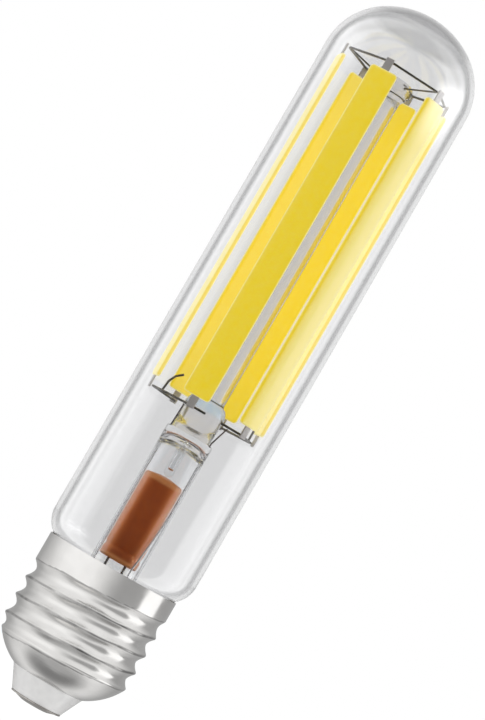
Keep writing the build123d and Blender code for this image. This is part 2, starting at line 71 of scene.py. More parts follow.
def feed(tree: bpy.types.NodeTree, socket: bpy.types.NodeSocket, term: Term) -> None:
    """Gives a socket its link or its plain value.

    Args:
        tree: The tree that the socket is in.
        socket: The input to fill.
        term: A worked-out value, another socket, a colour or a constant.
    """
    if isinstance(term, Value):
        term = term.source
    if isinstance(term, bpy.types.NodeSocket):
        tree.links.new(term, socket)
    elif isinstance(term, tuple) and socket.type == "RGBA":
        socket.default_value = (*term, 1.0)
    else:
        socket.default_value = term


def add_node(tree: bpy.types.NodeTree, kind: str, feeds: "dict[str | int, Term] | None" = None,
             **settings: object) -> bpy.types.Node:
    """Adds a node to a tree.

    Args:
        tree: The tree that gets the node.
        kind: The node's type.
        feeds: What goes into its inputs, by their names or places.
        settings: Properties to set on the node first.

    Returns:
        The new node.
    """
    made = tree.nodes.new(kind)
    for key, setting in settings.items():
        setattr(made, key, setting)
    for place, term in (feeds or {}).items():
        feed(tree, made.inputs[place], term)
    return made


class Value:
    """A number that a node tree works out, written with plain arithmetic."""

    def __init__(self, tree: bpy.types.NodeTree, source: bpy.types.NodeSocket) -> None:
        """Holds the tree and the socket that gives the number."""
        self.tree = tree
        self.source = source

    def math(self, operation: str, *others: Term) -> "Value":
        """Adds one math node.

        Args:
            operation: Name of the math node's operation.
            others: The terms after this one.

        Returns:
            The node's result.
        """
        terms = dict(enumerate((self, *others)))
        node = add_node(self.tree, "ShaderNodeMath", terms, operation=operation)
        return Value(self.tree, node.outputs[0])

    def ramp(self, low: Term, high: Term, bottom: float = 0.0, top: float = 1.0) -> "Value":
        """Smooth step from one level to another.

        Args:
            low: Where the step starts.
            high: Where the step ends.
            bottom: Level before the step.
            top: Level after the step.

        Returns:
            The stepped value.
        """
        terms = dict(enumerate((self, low, high, bottom, top)))
        node = add_node(self.tree, "ShaderNodeMapRange", terms, interpolation_type="SMOOTHSTEP")
        return Value(self.tree, node.outputs[0])

    def above(self, limit: float, soft: float) -> "Value":
        """Zero below a limit and one above it, with a soft edge."""
        return self.ramp(limit - soft, limit + soft)

    def band(self, low: float, high: float, soft: float) -> "Value":
        """One between two limits and zero outside them, with soft edges."""
        return self.above(low, soft) * self.ramp(high - soft, high + soft, 1.0, 0.0)

    def __add__(self, other: Term) -> "Value":
        """Sum."""
        return self.math("ADD", other)

    def __sub__(self, other: Term) -> "Value":
        """Difference."""
        return self.math("SUBTRACT", other)

    def __mul__(self, other: Term) -> "Value":
        """Product."""
        return self.math("MULTIPLY", other)

    def __truediv__(self, other: Term) -> "Value":
        """Quotient."""
        return self.math("DIVIDE", other)


def split(tree: bpy.types.NodeTree, vector: bpy.types.NodeSocket) -> tuple[Value, Value, Value]:
    """Takes a vector apart into its three numbers."""
    node = add_node(tree, "ShaderNodeSeparateXYZ", {0: vector})
    return tuple(Value(tree, socket) for socket in node.outputs)


class GrowTree:
    """A geometry node tree with named inputs that grows one plain mesh."""

    KINDS = {float: "NodeSocketFloat", int: "NodeSocketInt", str: "NodeSocketMaterial",
             type(None): "NodeSocketObject"}

    def __init__(self, name: str, **inputs: "float | int | str | None") -> None:
        """Makes the empty tree.

        Args:
            name: Name of the tree.
            inputs: Each input's default; an empty text stands for a material and None for an object.
        """
        self.tree = bpy.data.node_groups.new(name, "GeometryNodeTree")
        sockets = self.tree.interface
        sockets.new_socket("Geometry", in_out="INPUT", socket_type="NodeSocketGeometry")
        for label, default in inputs.items():
            made = sockets.new_socket(label, in_out="INPUT", socket_type=self.KINDS[type(default)])
            if default not in ("", None):
                made.default_value = default
        sockets.new_socket("Geometry", in_out="OUTPUT", socket_type="NodeSocketGeometry")
        self.entry = self.tree.nodes.new("NodeGroupInput")

    def node(self, kind: str, feeds: "dict[str | int, Term] | None" = None,
             **settings: object) -> bpy.types.Node:
        """Adds a node to this tree, as add_node does."""
        return add_node(self.tree, kind, feeds, **settings)

    def given(self, label: str) -> Value:
        """One of the tree's own inputs."""
        return Value(self.tree, self.entry.outputs[label])

    def close(self, geometry: bpy.types.NodeSocket) -> None:
        """Ends the tree in realized, smooth geometry that has its material.

        Args:
            geometry: What the tree has made.
        """
        real = self.node("GeometryNodeRealizeInstances", {"Geometry": geometry})
        smooth = self.node("GeometryNodeSetShadeSmooth", {"Geometry": real.outputs[0]})
        dress = {"Geometry": smooth.outputs[0], "Material": self.given("Finish")}
        painted = self.node("GeometryNodeSetMaterial", dress)
        self.node("NodeGroupOutput", {0: painted.outputs[0]})

    def grow(self, name: str, seed: bpy.types.Mesh, **values: object) -> bpy.types.Object:
        """Runs the tree on a seed mesh.

        Args:
            name: Name of the piece.
            seed: The mesh that goes in.
            values: What the tree's inputs are set to.

        Returns:
            The grown piece, as a plain mesh.
        """
        carrier = shown(f"{name}_seed", seed)
        modifier = carrier.modifiers.new("grow", "NODES")
        modifier.node_group = self.tree
        for item in self.tree.interface.items_tree:
            if item.in_out == "INPUT" and item.name in values:
                modifier[item.identifier] = values[item.name]
        depsgraph = bpy.context.evaluated_depsgraph_get()
        mesh = bpy.data.meshes.new_from_object(carrier.evaluated_get(depsgraph))
        bpy.data.objects.remove(carrier)
        return shown(name, mesh)


def shown(name: str, mesh: bpy.types.Mesh) -> bpy.types.Object:
    """Puts a mesh into the scene as an object at the origin.

    Args:
        name: Name of the object and of its mesh.
        mesh: The mesh.

    Returns:
        The new object.
    """
    mesh.name = name
    piece = bpy.data.objects.new(name, mesh)
    bpy.context.scene.collection.objects.link(piece)
    return piece


def fitted(piece: bpy.types.Object, slot: str, *nodes: str) -> None:
    """Seats a finished piece on the lamp's body.

    Args:
        piece: The finished piece.
        slot: Material slot of the record that the piece takes its finish from; not used here.
        nodes: The CAD nodes that it stands for.
    """
    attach(piece, "root")
    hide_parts(*nodes)
    log.info("%s: %d faces, for %s", piece.name, len(piece.data.polygons), ", ".join(nodes))


def smoothed(mesh: bpy.types.Mesh, sharp: float = 40.0) -> bpy.types.Mesh:
    """Turns a mesh's faces outwards and shades it smooth but for its sharp edges.

    Args:
        mesh: A closed mesh.
        sharp: Angle in degrees from which an edge stays sharp.

    Returns:
        The same mesh.
    """
    work = bmesh.new()
    work.from_mesh(mesh)
    bmesh.ops.remove_doubles(work, verts=work.verts, dist=MERGE)
    bmesh.ops.recalc_face_normals(work, faces=work.faces)
    work.to_mesh(mesh)
    work.free()
    mesh.shade_smooth()
    mesh.set_sharp_from_angle(angle=math.radians(sharp))
    return mesh


def arc(centre: Sequence[float], radius: "float | tuple[float, float]", start: float, end: float,
        steps: int) -> Profile:
    """Points along an arc in a turned outline.

    Args:
        centre: Radius and height of the arc's centre.
        radius: The arc's radius, or its two radii across and up.
        start: First angle in degrees.
        end: Last angle in degrees.
        steps: Number of steps from the first to the last.

    Returns:
        The points, as radius and height.
    """
    across, up = radius if isinstance(radius, tuple) else (radius, radius)
    turns = [math.radians(start + (end - start) * step / steps) for step in range(steps + 1)]
    return [(centre[0] + across * math.cos(turn), centre[1] + up * math.sin(turn)) for turn in turns]


def turned(outline: Profile, sides: int) -> bpy.types.Mesh:
    """Mesh turned about the axis from an outline that starts and ends on it, or that closes in a ring.

    Args:
        outline: Radius and height of each ring in millimetres, and where it is pinched its half thickness.
        sides: Number of faces round the axis.

    Returns:
        The closed mesh, in metres.
    """
    corners: list[tuple[float, float, float]] = []
    rings: list[list[int]] = []
    for radius, height, *pinch in outline:
        half = pinch[0] if pinch else ROUND
        count = 1 if radius == 0 else sides
        rings.append(list(range(len(corners), len(corners) + count)))
        for side in range(count):
            turn = math.tau * side / sides
            across, depth = radius * math.cos(turn), radius * math.sin(turn)
            depth /= (1 + (abs(depth) / half) ** SQUARENESS) ** (1 / SQUARENESS)
            corners.append((across * MM, depth * MM, height * MM))
    if len(rings[0]) > 1:
        rings.append(rings[0])
    faces: list[tuple[int, ...]] = []
    for low, high in zip(rings, rings[1:]):
        for side in range(sides):
            after = (side + 1) % sides
            if len(low) == 1:
                faces.append((low[0], high[side], high[after]))
            elif len(high) == 1:
                faces.append((low[side], high[0], low[after]))
            else:
                faces.append((low[side], high[side], high[after], low[after]))
    mesh = bpy.data.meshes.new("turned")
    mesh.from_pydata(corners, [], faces)
    return smoothed(mesh)


def paths(*runs: Sequence[Vector], closed: bool = False) -> bpy.types.Mesh:
    """Mesh of bare edges along one or more runs of points.

    Args:
        runs: The corners of each run in millimetres.
        closed: Whether each run goes back to its start.

    Returns:
        The mesh of edges, in metres.
    """
    corners: list[Vector] = []
    edges: list[tuple[int, int]] = []
    for run in runs:
        first = len(corners)
        corners.extend(point * MM for point in run)
        edges.extend((step, step + 1) for step in range(first, len(corners) - 1))
        if closed:
            edges.append((len(corners) - 1, first))
    mesh = bpy.data.meshes.new("paths")
    mesh.from_pydata(corners, edges, [])
    return mesh


class Effect(Enum):
    """Shared surface effects, each a shader node group."""

    MOTTLE = "soft_mottle"
    ROLLED = "rolled_lines"
    DRAWN = "drawn_streaks"


class EffectShop:
    """Makes each shared effect once, for the materials to place."""

    STRETCH = {Effect.MOTTLE: (1, 1, 1), Effect.ROLLED: (0.06, 0.06, 1), Effect.DRAWN: (1, 1, 0.03)}
    DEFAULTS = {"Scale": 300.0, "Low": 0.0, "High": 1.0}
    DETAIL = 4.0
    NOISE_LOW = 0.3
    NOISE_HIGH = 0.7

    def __init__(self) -> None:
        """Makes the groups."""
        self.groups = {effect: self.build(effect) for effect in Effect}

    def build(self, effect: Effect) -> bpy.types.NodeTree:
        """Makes one group: noise on Object coordinates, stretched as the effect needs.

        Args:
            effect: Which effect to make.

        Returns:
            The node group, with its inputs Scale, Low and High and its output Level.
        """
        tree = bpy.data.node_groups.new(effect.value, "ShaderNodeTree")
        for label, default in self.DEFAULTS.items():
            socket = tree.interface.new_socket(label, in_out="INPUT", socket_type="NodeSocketFloat")
            socket.default_value = default
        tree.interface.new_socket("Level", in_out="OUTPUT", socket_type="NodeSocketFloat")
        given = add_node(tree, "NodeGroupInput").outputs
        place = add_node(tree, "ShaderNodeTexCoord").outputs["Object"]
        mapping = add_node(tree, "ShaderNodeMapping", {"Vector": place, "Scale": self.STRETCH[effect]})
        noise = add_node(tree, "ShaderNodeTexNoise", {"Vector": mapping.outputs[0], "Scale": given["Scale"],
                                                      "Detail": self.DETAIL})
        reach = add_node(tree, "ShaderNodeMapRange", {0: noise.outputs[0], 1: self.NOISE_LOW,
                                                      2: self.NOISE_HIGH, 3: given["Low"], 4: given["High"]})
        add_node(tree, "NodeGroupOutput", {"Level": reach.outputs[0]})
        return tree


class Paint:
    """One material under construction: its tree, its shader and the effects placed in it."""

    RELIEF_DEPTH = 0.05

    def __init__(self, name: str, shop: "EffectShop | None" = None, **constants: Term) -> None:
        """Starts a material.

        Args:
            name: Name of the material.
            shop: Where its shared effects come from, if it has any.
            constants: Plain values for the shader's own sockets, spaces written as underscores.
        """
        self.material = bpy.data.materials.new(name)
        self.material.use_nodes = True
        self.tree = self.material.node_tree
        self.shop = shop
        self.shader = self.tree.nodes["Principled BSDF"]
        self.output = self.tree.nodes["Material Output"]
        for label, term in constants.items():
            self.put(label.replace("_", " "), term)

    def put(self, label: str, term: Term) -> None:
        """Feeds one of the shader's inputs."""
        feed(self.tree, self.shader.inputs[label], term)

    def effect(self, effect: Effect, scale: float, low: float = 0.0, high: float = 1.0) -> Value:
        """Places a shared effect.

        Args:
            effect: Which effect to place.
            scale: Scale of its noise, per metre.
            low: Its lowest level.
            high: Its highest level.

        Returns:
            The effect's level.
        """
        levels = {"Scale": scale, "Low": low, "High": high}
        node = add_node(self.tree, "ShaderNodeGroup", levels, node_tree=self.shop.groups[effect])
        return Value(self.tree, node.outputs[0])

    def blend(self, share: Term, first: "Colour | bpy.types.NodeSocket",
              second: "Colour | bpy.types.NodeSocket") -> bpy.types.NodeSocket:
        """Mixes two colours.

        Args:
            share: How much of the second colour shows.
            first: The first colour.
            second: The second colour.

        Returns:
            The mixed colour.
        """
        node = add_node(self.tree, "ShaderNodeMix", {"Factor": share}, data_type="RGBA")
        colours = [socket for socket in node.inputs if socket.type == "RGBA"]
        for socket, colour in zip(colours, (first, second)):
            feed(self.tree, socket, colour)
        return next(socket for socket in node.outputs if socket.type == "RGBA")

    def attribute(self, name: str) -> Value:
        """A number that the piece's mesh carries."""
        node = add_node(self.tree, "ShaderNodeAttribute", attribute_name=name)
        return Value(self.tree, node.outputs["Fac"])

    def height(self) -> Value:
        """Height on the lamp in millimetres."""
        place = add_node(self.tree, "ShaderNodeTexCoord")
        return split(self.tree, place.outputs["Object"])[2] * (1 / MM)

    def grazing(self) -> Value:
        """How far the surface turns away from the eye, from 0 to 1."""
        return Value(self.tree, add_node(self.tree, "ShaderNodeLayerWeight").outputs["Facing"])

    def relief(self, level: Value, strength: float) -> None:
        """Roughens the surface by its level, as strongly as it says."""
        shape = {"Strength": strength, "Distance": self.RELIEF_DEPTH * MM, "Height": level}
        self.put("Normal", add_node(self.tree, "ShaderNodeBump", shape).outputs[0])


@dataclass(frozen=True)
class Glass:
    """Clear drawn glass with faint streaks along its length, and a painted-light tint over a band of height.
    Heights in millimetres.
    """

    name: str
    tint: Colour
    painted_light_tint: "Colour | None" = None
    zone_low: float = 0.0
    zone_high: float = 0.0
    zone_soft: float = 0.4
    index: float = 1.5
    streak_scale: float = 220.0
    streak_depth: float = 0.012
    wave: float = 0.0
    haze: float = 0.0
    haze_least: float = 0.6
    haze_scale: float = 180.0
    haze_low: float = 0.0
    haze_soft: float = 0.8
    milk: float = 0.0
    grey: float = 0.0
    smoke: float = 0.8

    def material(self, shop: EffectShop) -> bpy.types.Material:
        """Makes the glass material.

        Args:
            shop: Where the shared effects come from.

        Returns:
            The material.
        """
        paint = Paint(self.name, shop, Transmission_Weight=1.0 - self.milk, IOR=self.index, Metallic=0.0,
                      Roughness=0.0)
        streaks = paint.effect(Effect.DRAWN, self.streak_scale)
        colour = paint.blend(streaks, self.tint, tuple(level - self.streak_depth for level in self.tint))
        # Painted light: a tint over a band of height, painted shade on the envelope's crown and a painted
        # glint on the rod's foot.
        if self.painted_light_tint:
            painted_zone = paint.height().band(self.zone_low, self.zone_high, self.zone_soft)
            colour = paint.blend(painted_zone, colour, self.painted_light_tint)
        paint.put("Base Color", colour)
        if self.wave:
            paint.relief(streaks, self.wave)
        if self.haze:
            haze = paint.effect(Effect.MOTTLE, self.haze_scale, self.haze * self.haze_least, self.haze)
            paint.put("Roughness", haze * paint.height().above(self.haze_low, self.haze_soft))
        if self.grey:
            density = self.grey / MM / (1.0 - self.smoke)
            smoke = {"Color": (self.smoke, self.smoke, self.smoke), "Density": density}
            absorbed = add_node(paint.tree, "ShaderNodeVolumeAbsorption", smoke)
            feed(paint.tree, paint.output.inputs["Volume"], absorbed.outputs[0])
        return paint.material


@dataclass(frozen=True)
class Metal:
    """Bare or plated metal with rolling lines, a faint uneven tarnish and painted shade along its creases."""

    name: str
    bright: Colour
    dull: Colour
    smooth: float
    rough: float
    bare: float = 1.0
    lines: float = 0.1
    dents: float = 0.0
    crease: float = 0.0
    crease_least: float = 0.3
    crease_shade: float = 0.15
    tinned: Colour = (0.80, 0.80, 0.82)
    tinned_top: float = 0.0
    tinned_soft: float = 0.8
    tarnish_scale: float = 160.0
    crease_scale: float = 240.0
    gloss_scale: float = 420.0
    line_scale: float = 2600.0
    dent_scale: float = 110.0
    relief: float = 0.35

    def material(self, shop: EffectShop) -> bpy.types.Material:
        """Makes the metal material.

        Args:
            shop: Where the shared effects come from.

        Returns:
            The material.
        """
        paint = Paint(self.name, shop, Metallic=self.bare)
        colour = paint.blend(paint.effect(Effect.MOTTLE, self.tarnish_scale), self.bright, self.dull)
        if self.tinned_top:
            plain = paint.height().above(self.tinned_top, self.tinned_soft)
            colour = paint.blend(plain, self.tinned, colour)
        # Painted shade: darker in patches along the mesh's crease mask, where the thread's turns meet.
        if self.crease:
            patchy = paint.effect(Effect.MOTTLE, self.crease_scale, self.crease_least)
            painted_crease_shade = paint.attribute("crease") * patchy * self.crease
            colour = paint.blend(painted_crease_shade, colour, tuple(level * self.crease_shade for level in self.dull))
        paint.put("Base Color", colour)
        paint.put("Roughness", paint.effect(Effect.MOTTLE, self.gloss_scale, self.smooth, self.rough))
        lines = paint.effect(Effect.ROLLED, self.line_scale, 0.0, self.lines)
        paint.relief(lines + paint.effect(Effect.MOTTLE, self.dent_scale, 0.0, self.dents), self.relief)
        return paint.material


@dataclass(frozen=True)
class Coating:
    """Yellow phosphor in clear silicone, paler on the strip's rear; a painted sheen makes it paler where it
    turns away, and its glow is painted light.
    """

    name: str
    deep: Colour
    pale: Colour
    glow: float
    coat: float = 0.05
    smooth: float = 0.42
    rough: float = 0.6
    grain: float = 0.08
    grain_scale: float = 900.0
    gloss_scale: float = 500.0
    skin_scale: float = 1500.0
    rear_share: float = 0.04
    painted_sheen_share: float = 0.9
    painted_sheen_reach: float = 0.5
    relief: float = 0.15

    def material(self, shop: EffectShop) -> bpy.types.Material:
        """Makes the coating material.

        Args:
            shop: Where the shared effects come from.

        Returns:
            The material.
        """
        paint = Paint(self.name, shop, Coat_Weight=self.coat, Emission_Strength=self.glow)
        rear = paint.attribute("rear") * self.rear_share
        # Painted sheen: paler where the strip turns away from the eye.
        painted_flank_light = paint.grazing().ramp(0.0, self.painted_sheen_reach) * self.painted_sheen_share
        share = rear + painted_flank_light + paint.effect(Effect.MOTTLE, self.grain_scale, 0.0, self.grain)
        colour = paint.blend(share, self.deep, self.pale)
        paint.put("Base Color", colour)
        # Painted light: the strip glows in its own colour.
        paint.put("Emission Color", colour)
        paint.put("Roughness", paint.effect(Effect.MOTTLE, self.gloss_scale, self.smooth, self.rough))
        paint.relief(paint.effect(Effect.MOTTLE, self.skin_scale), self.relief)
        return paint.material


@dataclass(frozen=True)
class Moulded:
    """Moulded or fired material with a fine grain."""

    name: str
    body: Colour
    flecks: Colour
    smooth: float
    rough: float
    grain: float = 700.0
    coat: float = 0.0
    index: float = 1.5
    relief: float = 0.1

    def with_painted_light(self, paint: Paint, colour: bpy.types.NodeSocket) -> bpy.types.NodeSocket:
        """The material's colour as it is, with no painted light, for kinds that don't change along the piece.
        """
        return colour

    def material(self, shop: EffectShop) -> bpy.types.Material:
        """Makes the moulded material.

        Args:
            shop: Where the shared effects come from.

        Returns:
            The material.
        """
        paint = Paint(self.name, shop, Coat_Weight=self.coat, IOR=self.index)
        flecked = paint.blend(paint.effect(Effect.MOTTLE, self.grain), self.body, self.flecks)
        paint.put("Base Color", self.with_painted_light(paint, flecked))
        paint.put("Roughness", paint.effect(Effect.MOTTLE, self.grain / 2, self.smooth, self.rough))
        paint.relief(paint.effect(Effect.MOTTLE, self.grain * 2), self.relief)
        return paint.material


@dataclass(frozen=True)
class Sleeve(Moulded):
    """Shrunk sleeve with painted light: paler ends and flanks, which a weak painted glow lifts. Heights in
    millimetres.
    """

    rim: Colour = WHITE
    rim_low: float = 0.0
    rim_high: float = 0.0
    rim_soft: float = 0.35
    edge: float = 0.0
    edge_reach: tuple[float, float] = (0.25, 0.8)
    sheen: Colour = WHITE
    glow: float = 0.0
    glow_reach: tuple[float, float] = (0.04, 0.42)
    end_glow: float = 0.8

    def with_painted_light(self, paint: Paint, colour: bpy.types.NodeSocket) -> bpy.types.NodeSocket:
        """Paints light on the ends and flanks: a paler colour there, and a glow.

        Args:
            paint: The material under construction.
            colour: The sleeve's plain colour.

        Returns:
            The colour with its painted paler ends and flanks.
        """
        paint.put("Specular Tint", self.sheen)
        # Painted light: a glow, with paler ends outside the band and paler flanks where the sleeve turns
        # away.
        paint.put("Emission Strength", self.glow)
        inside = paint.height().band(self.rim_low, self.rim_high, self.rim_soft)
        painted_flank_light = paint.grazing()
        lit = painted_flank_light.ramp(*self.glow_reach) + inside.ramp(0.0, 1.0, self.end_glow, 0.0)
        paint.put("Emission Color", paint.blend(lit, BLACK, self.rim))
        painted_ends = paint.blend(inside, self.rim, colour)
        return paint.blend(painted_flank_light.ramp(*self.edge_reach) * self.edge, painted_ends, self.rim)


class Finishes:
    """Every material of the lamp, by the record's slot."""

    def __init__(self) -> None:
        """Makes all the materials."""
        shop = EffectShop()
        finishes = {
            # The envelope's darker tint from 141.2 mm up is painted shade on its crown.
            "envelope_glass": Glass("clear_envelope", (0.905, 0.906, 0.91), (0.68, 0.68, 0.685),
                                    zone_low=141.2, zone_high=200.0, grey=0.022),
            "stem_glass": Glass("clear_stem", (0.97, 0.975, 0.98), wave=0.05, haze=0.18, haze_low=51.8),
            # The rod's blue tint from 61.6 to 63.9 mm is a painted glint on its foot's crown.
            "rod_glass": Glass("clear_rod", (0.90, 0.89, 0.895), (0.74, 0.87, 0.97),
                               zone_low=61.6, zone_high=63.9, haze=0.2, milk=0.06),
            "cage_wire": Metal("cage_steel", (0.22, 0.21, 0.20), (0.12, 0.115, 0.11),
                               smooth=0.3, rough=0.5, bare=0.7),
            "lead_wire": Metal("lead_steel", (0.28, 0.25, 0.24), (0.14, 0.12, 0.12),
                               smooth=0.3, rough=0.5, tinned_top=53.5),
            "cap_metal": Metal("plated_cap", (0.80, 0.79, 0.775), (0.70, 0.69, 0.675),
                               smooth=0.13, rough=0.24, lines=0.25, dents=0.5, crease=0.95),
            "contact_metal": Metal("contact_plate", (0.55, 0.53, 0.50), (0.36, 0.34, 0.32),
                                   smooth=0.25, rough=0.5, lines=0.2),
            "tab_metal": Metal("tab_plate", (0.74, 0.71, 0.70), (0.64, 0.61, 0.60),
                               smooth=0.3, rough=0.5, bare=0.25),
            "pigtail_wire": Metal("tinned_wire", (0.62, 0.61, 0.60), (0.45, 0.44, 0.43),
                                  smooth=0.25, rough=0.45),
            "filament_coating": Coating("phosphor_coat", (0.88, 0.66, 0.013), (0.97, 0.86, 0.34), glow=0.6),
            "insulator": Moulded("insulator_cone", (0.78, 0.775, 0.765), (0.71, 0.705, 0.70),
                                 smooth=0.1, rough=0.2, coat=0.3, index=2.3),
            # The sleeve's paler ends and flanks and its glow are painted light.
            "capacitor_sleeve": Sleeve("can_sleeve", (0.97, 0.155, 0.002), (0.90, 0.13, 0.002),
                                       smooth=0.28, rough=0.4, grain=500.0, index=2.3,
                                       rim=(0.98, 0.36, 0.12), rim_low=31.3, rim_high=46.3, edge=0.9,
                                       sheen=(1.0, 0.62, 0.32), glow=0.2),
            "cement": Moulded("basing_cement", (0.94, 0.93, 0.91), (0.89, 0.88, 0.86),
                              smooth=0.7, rough=0.95),
            "board": Moulded("board_laminate", (0.62, 0.55, 0.30), (0.50, 0.44, 0.22),
                             smooth=0.35, rough=0.55),
            "component_black": Moulded("black_moulding", (0.018, 0.018, 0.02), (0.03, 0.03, 0.032),
                                       smooth=0.35, rough=0.6),
            "choke_ferrite": Moulded("choke_drum", (0.045, 0.04, 0.04), (0.08, 0.06, 0.05),
                                     smooth=0.5, rough=0.8),
            "resistor_body": Moulded("resistor_paint", (0.12, 0.28, 0.14), (0.09, 0.22, 0.11),
                                     smooth=0.3, rough=0.5),
        }
        self.made = {slot: finish.material(shop) for slot, finish in finishes.items()}

    def __getitem__(self, slot: str) -> bpy.types.Material:
        """The material of a slot."""
        return self.made[slot]

    def dress_nodes(self) -> None:
        """Gives each CAD node that stays its material, from the record's slots."""
        slots = {part["node"]: part["material_slot"] for part in frame["record"]["subparts"]}
        for name, node in frame["nodes"].items():
            for place in node.material_slots:
                place.material = self.made[slots[name]]

    def fit(self, name: str, mesh: bpy.types.Mesh, slot: str, node: str) -> None:
        """Gives a mesh its material and seats it on the lamp as a piece that stands for a CAD node."""
        mesh.materials.append(self.made[slot])
        fitted(shown(name, mesh), slot, node)


@dataclass
class ScrewCap:
    """Screw shell with its rolled thread, the insulating cone and the centre contact. Millimetres."""

    crest_r: float = 13.125
    pitch: float = 3.629
    depth: float = 1.05
    turns: float = 4.2
    thread_low: float = 8.608
    thread_start: float = -11.0
    run_in: float = 0.25
    run_out: tuple[float, float] = (-0.3, 0.05)
    groove_power: float = 1.75
    groove_gain: float = 1.16
    crest_blend: float = 0.3
    crease_reach: tuple[float, float] = (0.82, 0.95)
    waver: float = 0.09
    top: float = 28.75
    sheet: float = 0.3
    bowl_r: float = 12.5
    bowl_inset: float = 1.85
    bowl_centre: float = 16.397
    bowl_blend: float = 0.25
    mouth_r: float = 7.2
    mouth_z: float = 5.1
    neck_gap: float = 0.05
    flange: float = 1.2
    contact_r: float = 5.1
    contact_flat_r: float = 2.7
    contact_z: float = 0.9
    rows: int = 150
    sides: int = 192
    sharp: float = 60.0
    seam: float = 0.002
    cone_sides: int = 128
    contact_sides: int = 96

    # Waves of the groove's wavering line: how many round the axis, their climb per millimetre, their share.
    WAVES: ClassVar[tuple[tuple[float, float, float], ...]] = ((5.0, 0.9, 0.6), (11.0, -1.7, 0.4))

    def rolled(self, grow: GrowTree, turn: Value, height: Value) -> tuple[Value, Value]:
        """Works out the shell's outer face, with the rolled groove of its thread.

        Args:
            grow: The shell's tree.
            turn: Place round the axis, from 0 to 1.
            height: Height on the cap.

        Returns:
            The face's radius, and a mask that is one along the edge between two turns of the groove, where
            the cap's material paints shade.
        """
        size = grow.given
        angle = turn - self.thread_start / 360
        first, second = ((turn * math.tau * count + height * climb).math("SINE") * share
                         for count, climb, share in self.WAVES)
        waver = (first + second) * size("Waver")
        phase = (height - size("Thread_Low") + waver) / size("Pitch") - angle
        groove = phase.math("ROUND")
        away = (phase - groove).math("ABSOLUTE") * 2.0
        run = groove + angle
        fade, end = self.run_out
        cut = run.ramp(0.0, self.run_in) * run.ramp(size("Turns") + fade, size("Turns") + end, 1.0, 0.0)
        painted_flank_light = away.math("POWER", self.groove_power) * self.groove_gain
        ridge = painted_flank_light.math("SMOOTH_MIN", 1.0, self.crest_blend)
        threaded = size("Crest") - (ridge * -1.0 + 1.0) * cut * size("Depth")
        fall = (size("Bowl_Centre") - height).math("MAXIMUM", 0.0)
        bowl = (size("Bowl").math("POWER", 2.0) - fall.math("POWER", 2.0)).math("SQRT") + size("Bowl_Inset")
        return threaded.math("SMOOTH_MIN", bowl, self.bowl_blend), away.ramp(*self.crease_reach) * cut

    def shell_tree(self) -> GrowTree:
        """Geometry nodes that wrap a grid into the threaded shell, with both its walls.

        Returns:
            The tree, with sizes in millimetres as its inputs.
        """
        grow = GrowTree("rolled_shell", Crest=self.crest_r, Pitch=self.pitch, Depth=self.depth,
                        Turns=self.turns, Thread_Low=self.thread_low, Low=self.mouth_z, Top=self.top,
                        Sheet=self.sheet, Bowl=self.bowl_r, Bowl_Inset=self.bowl_inset,
                        Bowl_Centre=self.bowl_centre, Waver=self.waver, Rows=self.rows, Sides=self.sides,
                        Finish="")
        size, rows = grow.given, grow.given("Rows")
        # The grid's rows go up the outer wall and down the inner one, and end on the first row again.
        grid = grow.node("GeometryNodeMeshGrid", {"Size X": 1.0, "Size Y": 1.0,
                                                  "Vertices X": size("Sides") + 1.0,
                                                  "Vertices Y": rows * 2.0 + 3.0})
        across, along, _ = split(grow.tree, grow.node("GeometryNodeInputPosition").outputs[0])
        turn = across + 0.5
        row = ((along + 0.5) * (rows * 2.0 + 2.0)).math("ROUND")
        unclosed = row.math("LESS_THAN", rows * 2.0 + 1.5)
        inner = row.math("GREATER_THAN", rows + 0.5) * unclosed
        climb = inner * ((rows * 2.0 + 1.0 - row) - row) + row
        height = (climb / rows) * unclosed * (size("Top") - size("Low")) + size("Low")
        outer, crease = self.rolled(grow, turn, height)
        radius = outer - inner * size("Sheet")
        around = turn * math.tau
        place = (radius * around.math("COSINE"), radius * around.math("SINE"), height)
        spot = grow.node("ShaderNodeCombineXYZ", {axis: term * MM for axis, term in enumerate(place)})
        # The crease mask marks where the cap's material paints shade along the thread.
        marked = grow.node("GeometryNodeStoreNamedAttribute",
                           {"Geometry": grid.outputs[0], "Name": "crease", "Value": crease})
        wrapped = grow.node("GeometryNodeSetPosition",
                            {"Geometry": marked.outputs[0], "Position": spot.outputs[0]})
        closed = grow.node("GeometryNodeMergeByDistance",
                           {"Geometry": wrapped.outputs[0], "Distance": self.seam * MM})
        grow.close(closed.outputs[0])
        return grow

    def cone_outline(self) -> Profile:
        """Outline of the insulating cone, from its foot to the flange inside the shell.

        Returns:
            The outline's points.
        """
        neck, foot = self.mouth_r - self.neck_gap, self.contact_r
        low, mouth, top = self.contact_z, self.mouth_z, self.mouth_z + self.flange
        return [(0, low), (foot - 0.5, low), (foot - 0.08, low), (foot + 0.06, low + 0.12),
                (foot + 0.28, low + 0.6), (neck - 0.25, mouth - 0.5), (neck - 0.02, mouth - 0.1),
                (neck, mouth + 0.05), (neck, mouth + 0.5), (neck, top), (0, top)]

    def contact_outline(self) -> Profile:
        """Outline of the contact plate, with its flat middle and rolled rim.

        Returns:
            The outline's points.
        """
        rim, flat = self.contact_r, self.contact_flat_r
        return [(0, 0), (flat - 0.3, 0), *arc((flat, 0.5), 0.5, -90, -70, 4), (rim - 0.35, 0.62),
                *arc((rim - 0.2, 0.72), 0.18, -60, 60, 6), (rim - 0.3, self.contact_z), (0, self.contact_z)]

